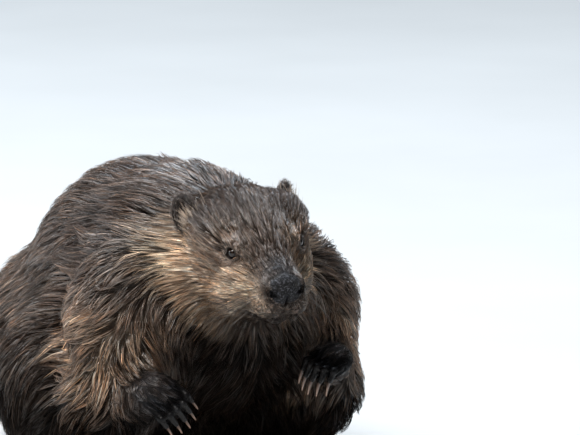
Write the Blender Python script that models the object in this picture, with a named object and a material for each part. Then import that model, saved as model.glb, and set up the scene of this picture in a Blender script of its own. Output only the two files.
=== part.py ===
"""A North American beaver sitting hunched on its haunches, life size.

Metres, +Z up. The animal faces -Y and +X is its left side. The solids give the outer outline, the
coat included, as joined round masses named for the anatomy. The whole body is one distance field;
each sub-part is that field meshed at its own fineness and cut at flat faces from its neighbours.
"""

from math import cos, radians, sin

import bpy
import numpy as np

CM = 0.01
GAP = 0.0003  # clearance between two sub-parts
LEFT, RIGHT = 1, -1
SIDE_NAMES = {LEFT: "left", RIGHT: "right"}
DIGITS = 5


# ------------------------------------------------------------------ vectors and axes


def cm(*values):
    return np.array(values) * CM


def unit(vector):
    vector = np.asarray(vector, float)
    return vector / np.linalg.norm(vector)


def axes_along(forward, up):
    """Columns forward, side (to the left of forward) and up, square to each other."""
    forward = unit(forward)
    side = unit(np.cross(up, forward))
    return np.column_stack([forward, side, np.cross(forward, side)])


def turned(yaw=0.0, pitch=0.0):
    """World axes pitched about X, then yawed about Z, in degrees."""
    y, p = radians(yaw), radians(pitch)
    about_z = np.array([[cos(y), -sin(y), 0], [sin(y), cos(y), 0], [0, 0, 1]])
    about_x = np.array([[1, 0, 0], [0, cos(p), -sin(p)], [0, sin(p), cos(p)]])
    return about_z @ about_x


# ------------------------------------------------------------------ driving dimensions

NOSE_TIP = cm(-1.5, -25.0, 21.5)
HEAD_YAW, HEAD_PITCH, HEAD_ROLL = 7.0, -9.5, 6.0  # to its right, nose down, left side up
EYE_AT, EYE_RADIUS = cm(-5.48, 2.84, 1.94), 0.0052  # head frame: forward, left, up
EAR_AT = {LEFT: cm(-12.5, 4.5, 1.95), RIGHT: cm(-12.5, 4.85, 2.35)}  # the left one lies lower
EAR_HALF = cm(1.75, 1.4, 0.7)  # half height, width and depth of the cupped shell
EAR_WALL = 0.0024

ELBOW = {LEFT: cm(10.4, -8.0, 9.8), RIGHT: cm(-9.6, -9.2, 9.2)}
WRIST = {LEFT: cm(8.5, -14.6, 12.9), RIGHT: cm(-9.0, -14.7, 11.8)}
HAND_AXES = {  # way the digits point, way the back of the hand faces
    LEFT: axes_along([-0.88, -0.32, -0.36], [-0.30, -0.35, 0.88]),
    RIGHT: axes_along([0.60, -0.30, -0.74], [-0.3, -0.9, 0.25]),
}
FINGER_LENGTHS = cm(1.8, 2.4, 2.6, 2.4, 1.9)  # from the inner digit out
FINGER_CURL = {LEFT: 1.05, RIGHT: 0.50}  # turn of the last joint towards the palm

HEEL = cm(9.2, 4.0, 1.9)  # of the left hind foot
FOOT_AXES = turned(yaw=6.0)
TOE_LENGTHS = cm(7.0, 8.3, 9.2, 9.2, 8.3)
TOE_FAN = 8.0  # degrees between toes

TAIL_ROOT, TAIL_NECK = cm(0, 20.5, 7.2), cm(0, 32.0, 2.4)
PADDLE_AT, PADDLE_HALF, PADDLE_YAW = cm(0.5, 44.5, 1.1), cm(6.4, 15.0, 1.25), -2.0

CLAW_FORE = {"length": 0.0135, "root": 0.0021, "tip": 0.0006, "droop": 0.0035}
CLAW_HIND = {"length": 0.0130, "root": 0.0027, "tip": 0.0009, "droop": 0.0026}


def head_axes():
    """Columns forward, left and up of the head."""
    yaw, pitch, roll = radians(HEAD_YAW), radians(HEAD_PITCH), radians(HEAD_ROLL)
    forward = np.array([-sin(yaw) * cos(pitch), -cos(yaw) * cos(pitch), sin(pitch)])
    side = np.array([cos(yaw), -sin(yaw), 0.0])
    up = np.cross(forward, side)
    return np.column_stack(
        [forward, cos(roll) * side + sin(roll) * up, cos(roll) * up - sin(roll) * side]
    )


HEAD_AXES = head_axes()


# ------------------------------------------------------------------ distance fields


def join(a, b, soft):
    """Union of two distance fields with a fillet of about this size."""
    h = np.clip(0.5 + 0.5 * (b - a) / soft, 0, 1)
    return b + (a - b) * h - soft * h * (1 - h)


def carve(a, b, soft):
    return -join(-a, b, soft)


def egg(points, centre, radii, axes=None):
    """Distance to an ellipsoid."""
    local = points - centre
    if axes is not None:
        local = local @ axes
    local = local / radii
    near = np.linalg.norm(local, axis=1)
    slope = np.linalg.norm(local / radii, axis=1)
    return near * (near - 1) / np.maximum(slope, 1e-9)


def limb(points, start, end, start_radius, end_radius):
    """Distance to a round bar that tapers from start to end."""
    along = end - start
    t = np.clip((points - start) @ along / (along @ along), 0, 1)
    off = points - start - t[:, None] * along
    return np.linalg.norm(off, axis=1) - (start_radius + (end_radius - start_radius) * t)


def box_field(points, box):
    """Distance to an oriented box given as (origin, axes, low, high)."""
    origin, axes, low, high = box
    local = (points - origin) @ axes
    outside = np.maximum(low - local, local - high)
    return outside.max(axis=1)


def both_sides(points):
    """Folds the points onto the left half."""
    return np.column_stack([np.abs(points[:, 0]), points[:, 1], points[:, 2]])


def in_head(points):
    return (points - NOSE_TIP) @ HEAD_AXES


def from_head(local):
    return NOSE_TIP + local @ HEAD_AXES.T


def head_field(points):
    h = in_head(points)
    m = np.column_stack([h[:, 0], np.abs(h[:, 1]), h[:, 2]])
    braincase = egg(h, cm(-10.4, 0, 1.2), cm(6.2, 5.1, 4.7))
    cheeks = egg(m, cm(-9.2, 2.3, -1.4), cm(5.2, 2.9, 3.6))
    muzzle = limb(h, cm(-7.2, 0, 0.25), cm(-2.6, 0, -0.45), 0.0325, 0.0212)
    upper_lips = egg(m, cm(-2.9, 1.20, -1.85), cm(2.5, 1.30, 1.40))
    chin = limb(h, cm(-8.5, 0, -3.0), cm(-3.5, 0, -3.3), 0.027, 0.0115)
    brows = egg(m, cm(-6.3, 2.25, 2.5), cm(1.9, 1.0, 0.8))
    nose_pad = egg(h, cm(-1.05, 0, -0.22), cm(1.0, 1.35, 1.30))
    temples = egg(m, cm(-10.0, 3.6, 3.0), cm(3.2, 2.0, 2.0))
    d = join(braincase, cheeks, 0.014)
    d = join(d, muzzle, 0.014)
    d = join(d, upper_lips, 0.009)
    d = join(d, chin, 0.009)
    d = join(d, brows, 0.008)
    d = join(d, temples, 0.012)
    return join(d, nose_pad, 0.006)


def ear_axes(side):
    """Columns up the ear, across it and the way its cup opens, in the head frame."""
    mirror = np.array([1, side, 1])
    up, opens = np.array([0.0, -0.05, 1.0]) * mirror, np.array([0.42, 0.90, 0.0]) * mirror
    return axes_along(up, opens)


def ear_field(side):
    axes = ear_axes(side)
    centre = EAR_AT[side] * np.array([1, side, 1]) + axes[:, 0] * (EAR_HALF[0] - 0.0075)

    def field(points):
        h = in_head(points)
        hollow_half = EAR_HALF - np.array([EAR_WALL, EAR_WALL, 0])
        shell = egg(h, centre, EAR_HALF, axes)
        hollow = egg(h, centre + axes[:, 2] * 0.0052, hollow_half, axes)
        return carve(shell, hollow, 0.0015)

    return field


def trunk_field(points):
    m = both_sides(points)
    ribcage = egg(points, cm(0, -4.0, 17.2), cm(10.4, 10.6, 11.0), turned(pitch=-18))
    back = egg(points, cm(0, 4.0, 16.8), cm(11.5, 12.8, 12.2))
    belly = egg(points, cm(0, 8.0, 10.3), cm(13.6, 16.0, 9.8))
    rump = egg(points, cm(0, 14.5, 10.6), cm(11.8, 11.8, 10.0))
    shoulders = egg(m, cm(8.3, -7.5, 16.4), cm(5.4, 6.5, 7.8))
    d = join(ribcage, back, 0.035)
    d = join(d, belly, 0.035)
    d = join(d, rump, 0.035)
    return join(d, shoulders, 0.025)


def neck_field(points):
    return limb(points, cm(0, -6.0, 19.0), from_head(cm(-11.5, 0, -0.8)), 0.098, 0.052)


def foreleg_field(points, side):
    shoulder = cm(9.3 * side, -7.5, 16.5)
    upper_arm = limb(points, shoulder, ELBOW[side], 0.050, 0.036)
    forearm = limb(points, ELBOW[side], WRIST[side], 0.034, 0.0130)
    return join(upper_arm, forearm, 0.02)


def finger(side, n):
    """Knuckle, bend and tip of forefoot digit n; digit 0 is the inner one."""
    spread = (n - DIGITS // 2) * side
    axes = HAND_AXES[side]
    knuckle = WRIST[side] + axes @ cm(1.2, 0.70 * spread, 0.15)
    first = unit(axes @ np.array([1.0, 0.05 * spread, 0.30]))
    second = unit(axes @ np.array([1.0, 0.03 * spread, -FINGER_CURL[side]]))
    bend = knuckle + first * FINGER_LENGTHS[n] * 0.55
    return knuckle, bend, bend + second * FINGER_LENGTHS[n] * 0.45


def forepaw_field(points, side):
    """The palm and digits; the wide fillets keep the grooves between the digits open to the mesher."""
    axes = HAND_AXES[side]
    d = egg(points, WRIST[side] + axes @ cm(0.6, 0, -0.05), cm(1.6, 1.55, 0.95), axes)
    for n in range(DIGITS):
        knuckle, bend, tip = finger(side, n)
        first = limb(points, knuckle, bend, 0.0041, 0.0038)
        second = limb(points, bend, tip, 0.0038, 0.0030)
        d = join(d, join(first, second, 0.002), 0.0045)
    return d


def thigh_field(points):
    m = both_sides(points)
    thigh = egg(m, cm(9.3, 3.6, 8.6), cm(5.8, 10.6, 8.2), turned(yaw=6, pitch=14))
    shank = limb(m, cm(10.7, -6.3, 8.0), HEEL + cm(0.3, -1.5, 0.6), 0.045, 0.026)
    return join(thigh, shank, 0.03)


def toe(n):
    """Root, bend and tip of toe n of the left hind foot; toe 0 is the inner one."""
    spread = n - DIGITS // 2
    way = FOOT_AXES @ np.array([sin(radians(spread * TOE_FAN)), -cos(radians(spread * TOE_FAN)), 0])
    root = HEEL + FOOT_AXES @ cm(0.85 * spread, -6.6, -1.12)
    bend = root + way * TOE_LENGTHS[n] * 0.6 + cm(0, 0, 0.02)
    return root, bend, root + way * TOE_LENGTHS[n] - cm(0, 0, 0.24)


def hindfoot_field(points):
    m = both_sides(points)
    heel = limb(m, HEEL, HEEL + FOOT_AXES @ cm(0.1, -3.5, -0.3), 0.0205, 0.017)
    instep = egg(m, HEEL + FOOT_AXES @ cm(0.1, -4.6, -0.6), cm(2.5, 4.2, 1.35), FOOT_AXES)
    d = join(heel, instep, 0.008)
    for n in range(DIGITS):
        root, bend, tip = toe(n)
        one = join(limb(m, root, bend, 0.0085, 0.0077), limb(m, bend, tip, 0.0078, 0.0052), 0.003)
        d = join(d, one, 0.006)
    return join(d, web_field(m), 0.002)


def web_field(m):
    """The skin between the hind toes, a thin fan with a scalloped edge."""
    local = (m - HEEL) @ FOOT_AXES
    reach = np.hypot(local[:, 0], local[:, 1])
    angle = np.arctan2(local[:, 0], -local[:, 1])
    edge = 0.150 - 0.006 * np.cos(40 * angle)
    fan = np.maximum(reach - edge, (np.abs(angle + radians(1)) - radians(21)) * reach)
    return np.maximum(fan, np.abs(local[:, 2] + 0.0128) - 0.0022)


def tail_field(points):
    stem = limb(points, TAIL_ROOT, TAIL_NECK, 0.068, 0.021)
    q = (points - PADDLE_AT) @ turned(yaw=PADDLE_YAW) / PADDLE_HALF
    plan = (np.abs(q[:, 0]) ** 2.5 + np.abs(q[:, 1]) ** 2.5) ** 0.4
    paddle = (np.hypot(plan, q[:, 2]) - 1) * PADDLE_HALF[2]
    return join(stem, paddle, 0.02)


def body_field(points, with_paws=True):
    d = join(trunk_field(points), neck_field(points), 0.04)
    d = join(d, head_field(points), 0.022)
    for side in (LEFT, RIGHT):
        foreleg = foreleg_field(points, side)
        if with_paws:
            foreleg = join(foreleg, forepaw_field(points, side), 0.010)
        d = join(d, foreleg, 0.012)
    hindleg = thigh_field(points)
    if with_paws:
        hindleg = join(hindleg, hindfoot_field(points), 0.012)
    d = join(d, hindleg, 0.018)
    return join(d, tail_field(points), 0.05)


def pawless_field(points):
    return body_field(points, with_paws=False)


# ------------------------------------------------------------------ meshing a field


def grid_values(field, low, cell, counts):
    """The field at the corners of a grid; blocks far from the surface keep only their sign."""
    block = 4
    blocks = counts // block
    centres = [low[i] + (np.arange(blocks[i]) + 0.5) * cell * block for i in range(3)]
    middle = np.stack(np.meshgrid(*centres, indexing="ij"), -1).reshape(-1, 3)
    distance = field(middle)
    values = np.ones(counts + 1)
    signs = np.where(distance < 0, -1.0, 1.0).reshape(blocks)
    values[:-1, :-1, :-1] = signs.repeat(block, 0).repeat(block, 1).repeat(block, 2)
    near = (np.abs(distance) < cell * block * 1.25 + 0.004).reshape(blocks)
    near = near.repeat(block, 0).repeat(block, 1).repeat(block, 2)
    wanted = np.zeros(counts + 1, bool)
    n = counts
    for i in (0, 1):
        for j in (0, 1):
            for k in (0, 1):
                wanted[i : n[0] + i, j : n[1] + j, k : n[2] + k] |= near
    values[wanted] = field(low + np.argwhere(wanted) * cell)
    return values


def net(field, low, high, cell):
    """Points and quads of the field's surface: a point in each grid cell that it passes through."""
    n = (np.ceil((high - low) / (cell * 4)).astype(int) + 1) * 4
    values = grid_values(field, low, cell, n)
    inside = values < 0
    corners = [(i, j, k) for i in (0, 1) for j in (0, 1) for k in (0, 1)]
    filled = sum(inside[i : n[0] + i, j : n[1] + j, k : n[2] + k].astype(int) for i, j, k in corners)
    crossed = (filled > 0) & (filled < 8)
    cells = np.argwhere(crossed)
    index = np.full(crossed.shape, -1)
    index[crossed] = np.arange(len(cells))
    total, hits = np.zeros((len(cells), 3)), np.zeros(len(cells))
    at_corner = {c: values[tuple((cells + c).T)] for c in corners}
    for corner in corners:
        for axis in range(3):
            if corner[axis]:
                continue
            other = tuple(1 if i == axis else corner[i] for i in range(3))
            a, b = at_corner[corner], at_corner[other]
            cross = (a < 0) != (b < 0)
            t = np.where(cross, a / np.where(cross, a - b, 1), 0)
            step = np.array(other) - np.array(corner)
            total += np.where(cross[:, None], np.array(corner) + t[:, None] * step, 0)
            hits += cross
    points = low + (cells + total / hits[:, None]) * cell
    quads = []
    for axis in range(3):
        b, c = (axis + 1) % 3, (axis + 2) % 3
        near, far = [slice(None)] * 3, [slice(None)] * 3
        near[axis], far[axis] = slice(None, -1), slice(1, None)
        at = np.argwhere(inside[tuple(near)] != inside[tuple(far)])
        ring = []
        for db, dc in ((-1, -1), (0, -1), (0, 0), (-1, 0)):
            beside = at.copy()
            beside[:, b] += db
            beside[:, c] += dc
            ring.append(index[tuple(beside.T)])
        quad = np.stack(ring, axis=1)
        outward = inside[tuple(at.T)]
        quad[~outward] = quad[~outward][:, ::-1]
        quads.append(quad)
    return points, np.concatenate(quads)


def every_edge_joins_two(quads):
    edges = np.concatenate([quads[:, [i, (i + 1) % 4]] for i in range(4)])
    return (np.unique(np.sort(edges, axis=1), axis=0, return_counts=True)[1] == 2).all()


def closed_net(field, low, high, cell):
    """A net in which no two folds touch: the grid slides a little at a time until that is so."""
    for slide in range(12):
        points, quads = net(field, low - slide * cell / 12, high, cell)
        if every_edge_joins_two(quads):
            break
    return points, quads


def settle(field, points, step=0.0006):
    """Moves each point along the field's slope onto its surface."""
    slope = np.empty_like(points)
    for axis in range(3):
        shift = np.zeros(3)
        shift[axis] = step
        slope[:, axis] = (field(points + shift) - field(points - shift)) / (2 * step)
    reach = field(points) / np.maximum((slope**2).sum(axis=1), 0.05)
    return points - np.clip(reach, -0.004, 0.004)[:, None] * slope


# ------------------------------------------------------------------ objects


def clear_scene():
    for obj in list(bpy.data.objects):
        bpy.data.objects.remove(obj, do_unlink=True)


def material(name, colour, roughness, metallic=0.0):
    made = bpy.data.materials.new(name)
    made.use_nodes = True
    surface = made.node_tree.nodes["Principled BSDF"]
    surface.inputs["Base Color"].default_value = (*colour, 1)
    surface.inputs["Roughness"].default_value = roughness
    surface.inputs["Metallic"].default_value = metallic
    return made


def mesh_object(name, points, faces, finish=None, root=None):
    mesh = bpy.data.meshes.new(name)
    mesh.from_pydata([tuple(p) for p in points], [], [tuple(face) for face in faces])
    mesh.validate()
    mesh.shade_smooth()
    if finish:
        mesh.materials.append(finish)
    obj = bpy.data.objects.new(name, mesh)
    bpy.context.scene.collection.objects.link(obj)
    obj.parent = root
    return obj


def as_cutter(obj):
    obj.hide_render = True
    obj.display_type = "WIRE"
    return obj


def boolean(obj, cutter, operation):
    modifier = obj.modifiers.new(f"{operation.lower()} {cutter.name}", "BOOLEAN")
    modifier.operation = operation
    modifier.object = cutter
    modifier.solver = "EXACT"


def grown(box, by):
    origin, axes, low, high = box
    return origin, axes, low - by, high + by


def box_corners(box):
    origin, axes, low, high = box
    pick = np.array([(i, j, k) for i in (0, 1) for j in (0, 1) for k in (0, 1)])
    return origin + np.where(pick, high, low) @ axes.T


def box_cutter(name, box, root):
    faces = [(0, 1, 3, 2), (4, 6, 7, 5), (0, 4, 5, 1), (2, 3, 7, 6), (0, 2, 6, 4), (1, 5, 7, 3)]
    return as_cutter(mesh_object(name, box_corners(box), faces, root=root))


def blank(name, field, low, high, cell, triangles, finish, root):
    """The field's surface inside a world box, thinned to about this many triangles."""
    pad = 1.5 * cell
    bounds = (np.zeros(3), np.eye(3), low, high)

    def clipped(points):
        return np.maximum(field(points), box_field(points, bounds))

    points, quads = closed_net(clipped, low - pad, high + pad, cell)
    obj = mesh_object(name, settle(clipped, points), quads, finish, root)
    thin = obj.modifiers.new("thin out", "DECIMATE")
    thin.use_collapse_triangulate = True
    thin.ratio = min(1.0, triangles / (2 * len(quads)))
    return obj


# ------------------------------------------------------------------ flesh


def flesh_boxes():
    """Each sub-part's box as (name, finish, cell, triangles, box). A box yields to those before it."""
    world, origin = np.eye(3), np.zeros(3)
    head = (NOSE_TIP, HEAD_AXES)
    listed = [
        ("nose", "dark skin", 0.0030, 200, (*head, cm(-1.6, -3, -1.35), cm(1.5, 3, 3))),
        ("jaw", "fur", 0.0060, 300, (*head, cm(-8.8, -7, -6.0), cm(1.5, 7, -3.0))),
        ("head", "fur", 0.0060, 1150, (*head, cm(-13.3, -8, -6.0), cm(1.5, 8, 8))),
        ("neck", "fur", 0.0100, 500, (*head, cm(-19.0, -10, -6.5), cm(-13.3, 10, 9))),
    ]
    for side, word in SIDE_NAMES.items():
        box = (WRIST[side], HAND_AXES[side], cm(0.2, -3.2, -2.4), cm(7.5, 3.2, 2.4))
        listed.append((f"forepaw_{word}", "dark skin", 0.0018, 640, box))
    for side, word in SIDE_NAMES.items():
        low, high = sorted([cm(7.0 * side)[0], cm(19.0 * side)[0]])
        corner, far = np.array([low, -0.175, 0.050]), np.array([high, -0.010, 0.240])
        listed.append((f"foreleg_{word}", "fur", 0.0090, 500, (origin, world, corner, far)))
    for side, word in SIDE_NAMES.items():
        mirror = np.diag([side, 1, 1])
        axes = mirror @ FOOT_AXES @ mirror
        box = (mirror @ HEEL, axes, cm(-5.7, -19.0, -1.9), cm(5.7, -1.0, 1.15))
        listed.append((f"hindfoot_{word}", "dark skin", 0.0046, 520, box))
    for side, word in SIDE_NAMES.items():
        low, high = sorted([cm(7.4 * side)[0], cm(19.0 * side)[0]])
        corner, far = np.array([low, -0.110, 0.0]), np.array([high, 0.145, 0.150])
        listed.append((f"hindleg_{word}", "fur", 0.0120, 450, (origin, world, corner, far)))
    listed += [
        ("tail_paddle", "scales", 0.0080, 460, (origin, world, cm(-9, 31.5, 0), cm(9, 62, 5))),
        ("tail_root", "fur", 0.0090, 350, (origin, world, cm(-9, 24.5, 0), cm(9, 31.5, 14))),
        ("trunk", "fur", 0.0140, 1080, (origin, world, cm(-20, -19, 0), cm(20, 24.5, 34))),
    ]
    return listed


def overlap_in_world(box, other):
    a, b = box_corners(box), box_corners(other)
    return (a.min(0) < b.max(0)).all() and (b.min(0) < a.max(0)).all()


def make_flesh(finishes, root):
    made, earlier = {}, []
    for name, finish, cell, triangles, box in flesh_boxes():
        corners = box_corners(box)
        low, high = corners.min(0) - 2 * cell, corners.max(0) + 2 * cell
        field = pawless_field if name == "trunk" else body_field
        obj = blank(name, field, low, high, cell, triangles, finishes[finish], root)
        boolean(obj, box_cutter(f"{name}_box", grown(box, -GAP / 2), root), "INTERSECT")
        for other_name, other in earlier:
            if overlap_in_world(box, other):
                cutter = bpy.data.objects.get(f"{other_name}_clear") or box_cutter(
                    f"{other_name}_clear", grown(other, GAP / 2), root
                )
                boolean(obj, cutter, "DIFFERENCE")
        earlier.append((name, box))
        made[name] = obj
    return made


# ------------------------------------------------------------------ eyes, ears and claws


def ball(name, centre, radius, root, finish=None, around=14, up=9):
    points = [centre + np.array([0, 0, radius])]
    for i in range(1, up):
        tilt = np.pi * i / up
        for j in range(around):
            turn = 2 * np.pi * j / around
            way = np.array([sin(tilt) * cos(turn), sin(tilt) * sin(turn), cos(tilt)])
            points.append(centre + radius * way)
    points.append(centre - np.array([0, 0, radius]))
    last = len(points) - 1
    faces = [(0, 1 + j, 1 + (j + 1) % around) for j in range(around)]
    for i in range(up - 2):
        a, b = 1 + i * around, 1 + (i + 1) * around
        for j in range(around):
            k = (j + 1) % around
            faces.append((a + j, b + j, b + k, a + k))
    a = last - around
    faces += [(last, a + (j + 1) % around, a + j) for j in range(around)]
    return mesh_object(name, points, faces, finish, root)


def make_eyes(head, finishes, root):
    for side, word in SIDE_NAMES.items():
        centre = from_head(EYE_AT * np.array([1, side, 1]))
        ball(f"eye_{word}", centre, EYE_RADIUS, root, finishes["eye"])
        socket = as_cutter(ball(f"eye_{word}_socket", centre, EYE_RADIUS + 1.3 * GAP, root))
        boolean(head, socket, "DIFFERENCE")


def make_ears(finishes, root):
    """Each ear stands on the head, whose outline, held off by the gap, trims the ear's foot."""
    cell = 0.0022
    for side, word in SIDE_NAMES.items():
        middle = from_head(EAR_AT[side] * np.array([1, side, 1]))
        reach = cm(3.2, 3.2, 3.8)
        field = ear_field(side)
        obj = blank(f"ear_{word}", field, middle - reach, middle + reach, cell, 230, finishes["ear"], root)

        def scalp(points):
            return body_field(points) - 2.5 * GAP

        trim = blank(f"ear_{word}_trim", scalp, middle - reach, middle + reach, 0.006, 400, None, root)
        boolean(obj, as_cutter(trim), "DIFFERENCE")


def claw_mesh(name, tip, way, down, shape, extra, root, finish=None, rings=4, around=6):
    """A curved tapering claw. It starts inside the digit, behind its tip, and droops towards down."""
    side = np.cross(down, way)
    buried = 0.004 + extra
    points = []
    for i in range(rings):
        t = i / (rings - 1)
        run = -buried + (buried + shape["length"]) * t
        ahead = max(run, 0) / shape["length"]
        middle = tip + way * run + down * shape["droop"] * ahead**2
        radius = shape["root"] * (1 - t) + shape["tip"] * t + extra
        for j in range(around):
            turn = 2 * np.pi * j / around
            points.append(middle + radius * (cos(turn) * side * 0.8 + sin(turn) * down))
    faces = [tuple(range(around))[::-1], tuple(range((rings - 1) * around, rings * around))]
    for i in range(rings - 1):
        for j in range(around):
            k = (j + 1) % around
            a, b = i * around, (i + 1) * around
            faces.append((a + j, a + k, b + k, b + j))
    return mesh_object(name, points, faces, finish, root)


def add_claw(paw, name, tip, way, down, shape, finishes, root):
    claw_mesh(name, tip, way, down, shape, 0.0, root, finishes["horn"])
    cutter = as_cutter(claw_mesh(f"{name}_bed", tip, way, down, shape, 1.3 * GAP, root))
    boolean(paw, cutter, "DIFFERENCE")


def make_claws(flesh, finishes, root):
    for side, word in SIDE_NAMES.items():
        mirror = np.array([side, 1, 1])
        for n in range(DIGITS):
            _, bend, tip = finger(side, n)
            way = unit(tip - bend)
            down = unit(-HAND_AXES[side][:, 2] - way * (-HAND_AXES[side][:, 2] @ way))
            paw = flesh[f"forepaw_{word}"]
            add_claw(paw, f"claw_fore_{word}_{n + 1}", tip, way, down, CLAW_FORE, finishes, root)
        for n in range(DIGITS):
            _, bend, tip = toe(n)
            way = unit((tip - bend) * mirror * np.array([1, 1, 0]))
            paw = flesh[f"hindfoot_{word}"]
            down = np.array([0.0, 0.0, -1.0])
            add_claw(paw, f"claw_hind_{word}_{n + 1}", tip * mirror, way, down, CLAW_HIND, finishes, root)


# ------------------------------------------------------------------ the whole


def stand_on_origin(root):
    """Puts the middle of the animal's box over the origin, with its lowest flats at Z = 0."""
    graph = bpy.context.evaluated_depsgraph_get()
    low, high = np.full(3, np.inf), np.full(3, -np.inf)
    for obj in bpy.context.scene.objects:
        if obj.type == "MESH" and not obj.hide_render:
            mesh = obj.evaluated_get(graph).to_mesh()
            points = np.empty(len(mesh.vertices) * 3)
            mesh.vertices.foreach_get("co", points)
            low = np.minimum(low, points.reshape(-1, 3).min(0))
            high = np.maximum(high, points.reshape(-1, 3).max(0))
    root.location = (-(low[0] + high[0]) / 2, -(low[1] + high[1]) / 2, -low[2])


def main():
    clear_scene()
    finishes = {
        "fur": material("wet brown fur", (0.105, 0.060, 0.036), 0.55),
        "dark skin": material("dark bare skin", (0.030, 0.026, 0.026), 0.40),
        "scales": material("scaly tail skin", (0.045, 0.038, 0.034), 0.50),
        "ear": material("short dark ear fur", (0.040, 0.030, 0.026), 0.60),
        "eye": material("dark eye", (0.010, 0.007, 0.005), 0.05),
        "horn": material("claw horn", (0.300, 0.190, 0.130), 0.35),
    }
    root = bpy.data.objects.new("beaver", None)
    bpy.context.scene.collection.objects.link(root)
    flesh = make_flesh(finishes, root)
    make_eyes(flesh["head"], finishes, root)
    make_ears(finishes, root)
    make_claws(flesh, finishes, root)
    stand_on_origin(root)


main()
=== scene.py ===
"""Looks of a life-size North American beaver that sits hunched on its haunches.

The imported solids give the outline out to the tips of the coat. The same masses are repeated here as a
distance field and drawn in by the coat's depth, which gives one skin for the whole body. The coat
stands on that skin as tapered locks of solid mesh. Model coordinates are metres, +Z up, with the animal
facing -Y and its left side at +X; ORIGIN carries them into the frame.
"""

from concurrent.futures import ThreadPoolExecutor
from itertools import product
from math import cos, pi, radians, sin

import bmesh
import bpy
import numpy as np
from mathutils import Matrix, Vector
from mathutils.kdtree import KDTree


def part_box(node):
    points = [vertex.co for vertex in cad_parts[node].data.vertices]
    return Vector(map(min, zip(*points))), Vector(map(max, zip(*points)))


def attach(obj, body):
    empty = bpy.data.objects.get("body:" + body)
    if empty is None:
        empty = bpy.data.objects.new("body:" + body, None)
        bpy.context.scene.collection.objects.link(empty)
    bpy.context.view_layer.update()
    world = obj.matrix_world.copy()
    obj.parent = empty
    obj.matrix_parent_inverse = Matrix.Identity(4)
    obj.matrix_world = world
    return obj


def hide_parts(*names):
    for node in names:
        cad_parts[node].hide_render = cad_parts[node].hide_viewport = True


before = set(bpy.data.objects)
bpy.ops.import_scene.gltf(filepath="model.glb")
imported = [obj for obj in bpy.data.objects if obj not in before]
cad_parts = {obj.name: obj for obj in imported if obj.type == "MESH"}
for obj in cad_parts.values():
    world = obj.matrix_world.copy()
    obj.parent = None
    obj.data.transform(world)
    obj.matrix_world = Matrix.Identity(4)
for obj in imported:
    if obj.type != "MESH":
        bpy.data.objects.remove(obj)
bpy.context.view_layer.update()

CM = 0.01
LEFT, RIGHT = 1, -1
SIDE_NAMES = {LEFT: "left", RIGHT: "right"}
DIGITS = 5
WORKERS = ThreadPoolExecutor(4)


# ------------------------------------------------------------------ vectors and axes


def cm(*values):
    return np.array(values) * CM


def unit(vector):
    vector = np.asarray(vector, float)
    return vector / np.linalg.norm(vector)


def units(rows):
    return rows / np.maximum(np.linalg.norm(rows, axis=1, keepdims=True), 1e-9)


def axes_along(forward, up):
    """Columns forward, side (to the left of forward) and up, square to each other."""
    forward = unit(forward)
    side = unit(np.cross(up, forward))
    return np.column_stack([forward, side, np.cross(forward, side)])


def turned(yaw=0.0, pitch=0.0):
    """World axes pitched about X, then yawed about Z, in degrees."""
    y, p = radians(yaw), radians(pitch)
    about_z = np.array([[cos(y), -sin(y), 0], [sin(y), cos(y), 0], [0, 0, 1]])
    about_x = np.array([[1, 0, 0], [0, cos(p), -sin(p)], [0, sin(p), cos(p)]])
    return about_z @ about_x


def fade(value, start, end):
    """0 at start, 1 at end, smooth between."""
    t = np.clip((value - start) / (end - start), 0, 1)
    return t * t * (3 - 2 * t)


def mix(a, b, share):
    return a + (b - a) * share


def gap(points, place):
    """Distance of each point from a place."""
    return np.linalg.norm(points - place, axis=1)


def folded(points, axis):
    """The points with the right half folded onto the left, across this axis."""
    points = points.copy()
    points[:, axis] = np.abs(points[:, axis])
    return points


def rolled(forward, side, up, angle):
    """Columns forward, side and up, the last two turned about the first."""
    return np.column_stack(
        [forward, cos(angle) * side + sin(angle) * up, cos(angle) * up - sin(angle) * side]
    )


# ------------------------------------------------------------------ driving dimensions, as in the solids

NOSE_TIP = cm(-1.5, -25.0, 21.5)
HEAD_YAW, HEAD_PITCH, HEAD_ROLL = 7.0, -9.5, 6.0  # to its right, nose down, left side up
EYE_AT, EYE_RADIUS = cm(-5.48, 2.84, 1.94), 0.0052  # head frame: forward, left, up
EAR_AT = {LEFT: cm(-12.5, 4.5, 1.95), RIGHT: cm(-12.5, 4.85, 2.35)}  # the left one lies lower
EAR_HALF = cm(1.75, 1.4, 0.7)  # half height, width and depth of the cupped shell
EAR_WALL = 0.0024

ELBOW = {LEFT: cm(10.4, -8.0, 9.8), RIGHT: cm(-9.6, -9.2, 9.2)}
WRIST = {LEFT: cm(8.5, -14.6, 12.9), RIGHT: cm(-9.0, -14.7, 11.8)}
HAND_AXES = {  # way the digits point, way the back of the hand faces
    LEFT: axes_along([-0.88, -0.32, -0.36], [-0.30, -0.35, 0.88]),
    RIGHT: axes_along([0.60, -0.30, -0.74], [-0.3, -0.9, 0.25]),
}
FINGER_LENGTHS = cm(1.8, 2.4, 2.6, 2.4, 1.9)  # from the inner digit out
FINGER_CURL = {LEFT: 1.05, RIGHT: 0.50}  # turn of the last joint towards the palm

HEEL = cm(9.2, 4.0, 1.9)  # of the left hind foot
FOOT_AXES = turned(yaw=6.0)
TOE_LENGTHS = cm(7.0, 8.3, 9.2, 9.2, 8.3)
TOE_FAN = 8.0  # degrees between toes

TAIL_ROOT, TAIL_NECK = cm(0, 20.5, 7.2), cm(0, 32.0, 2.4)
PADDLE_AT, PADDLE_HALF, PADDLE_YAW = cm(0.5, 44.5, 1.1), cm(6.4, 15.0, 1.25), -2.0

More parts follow.
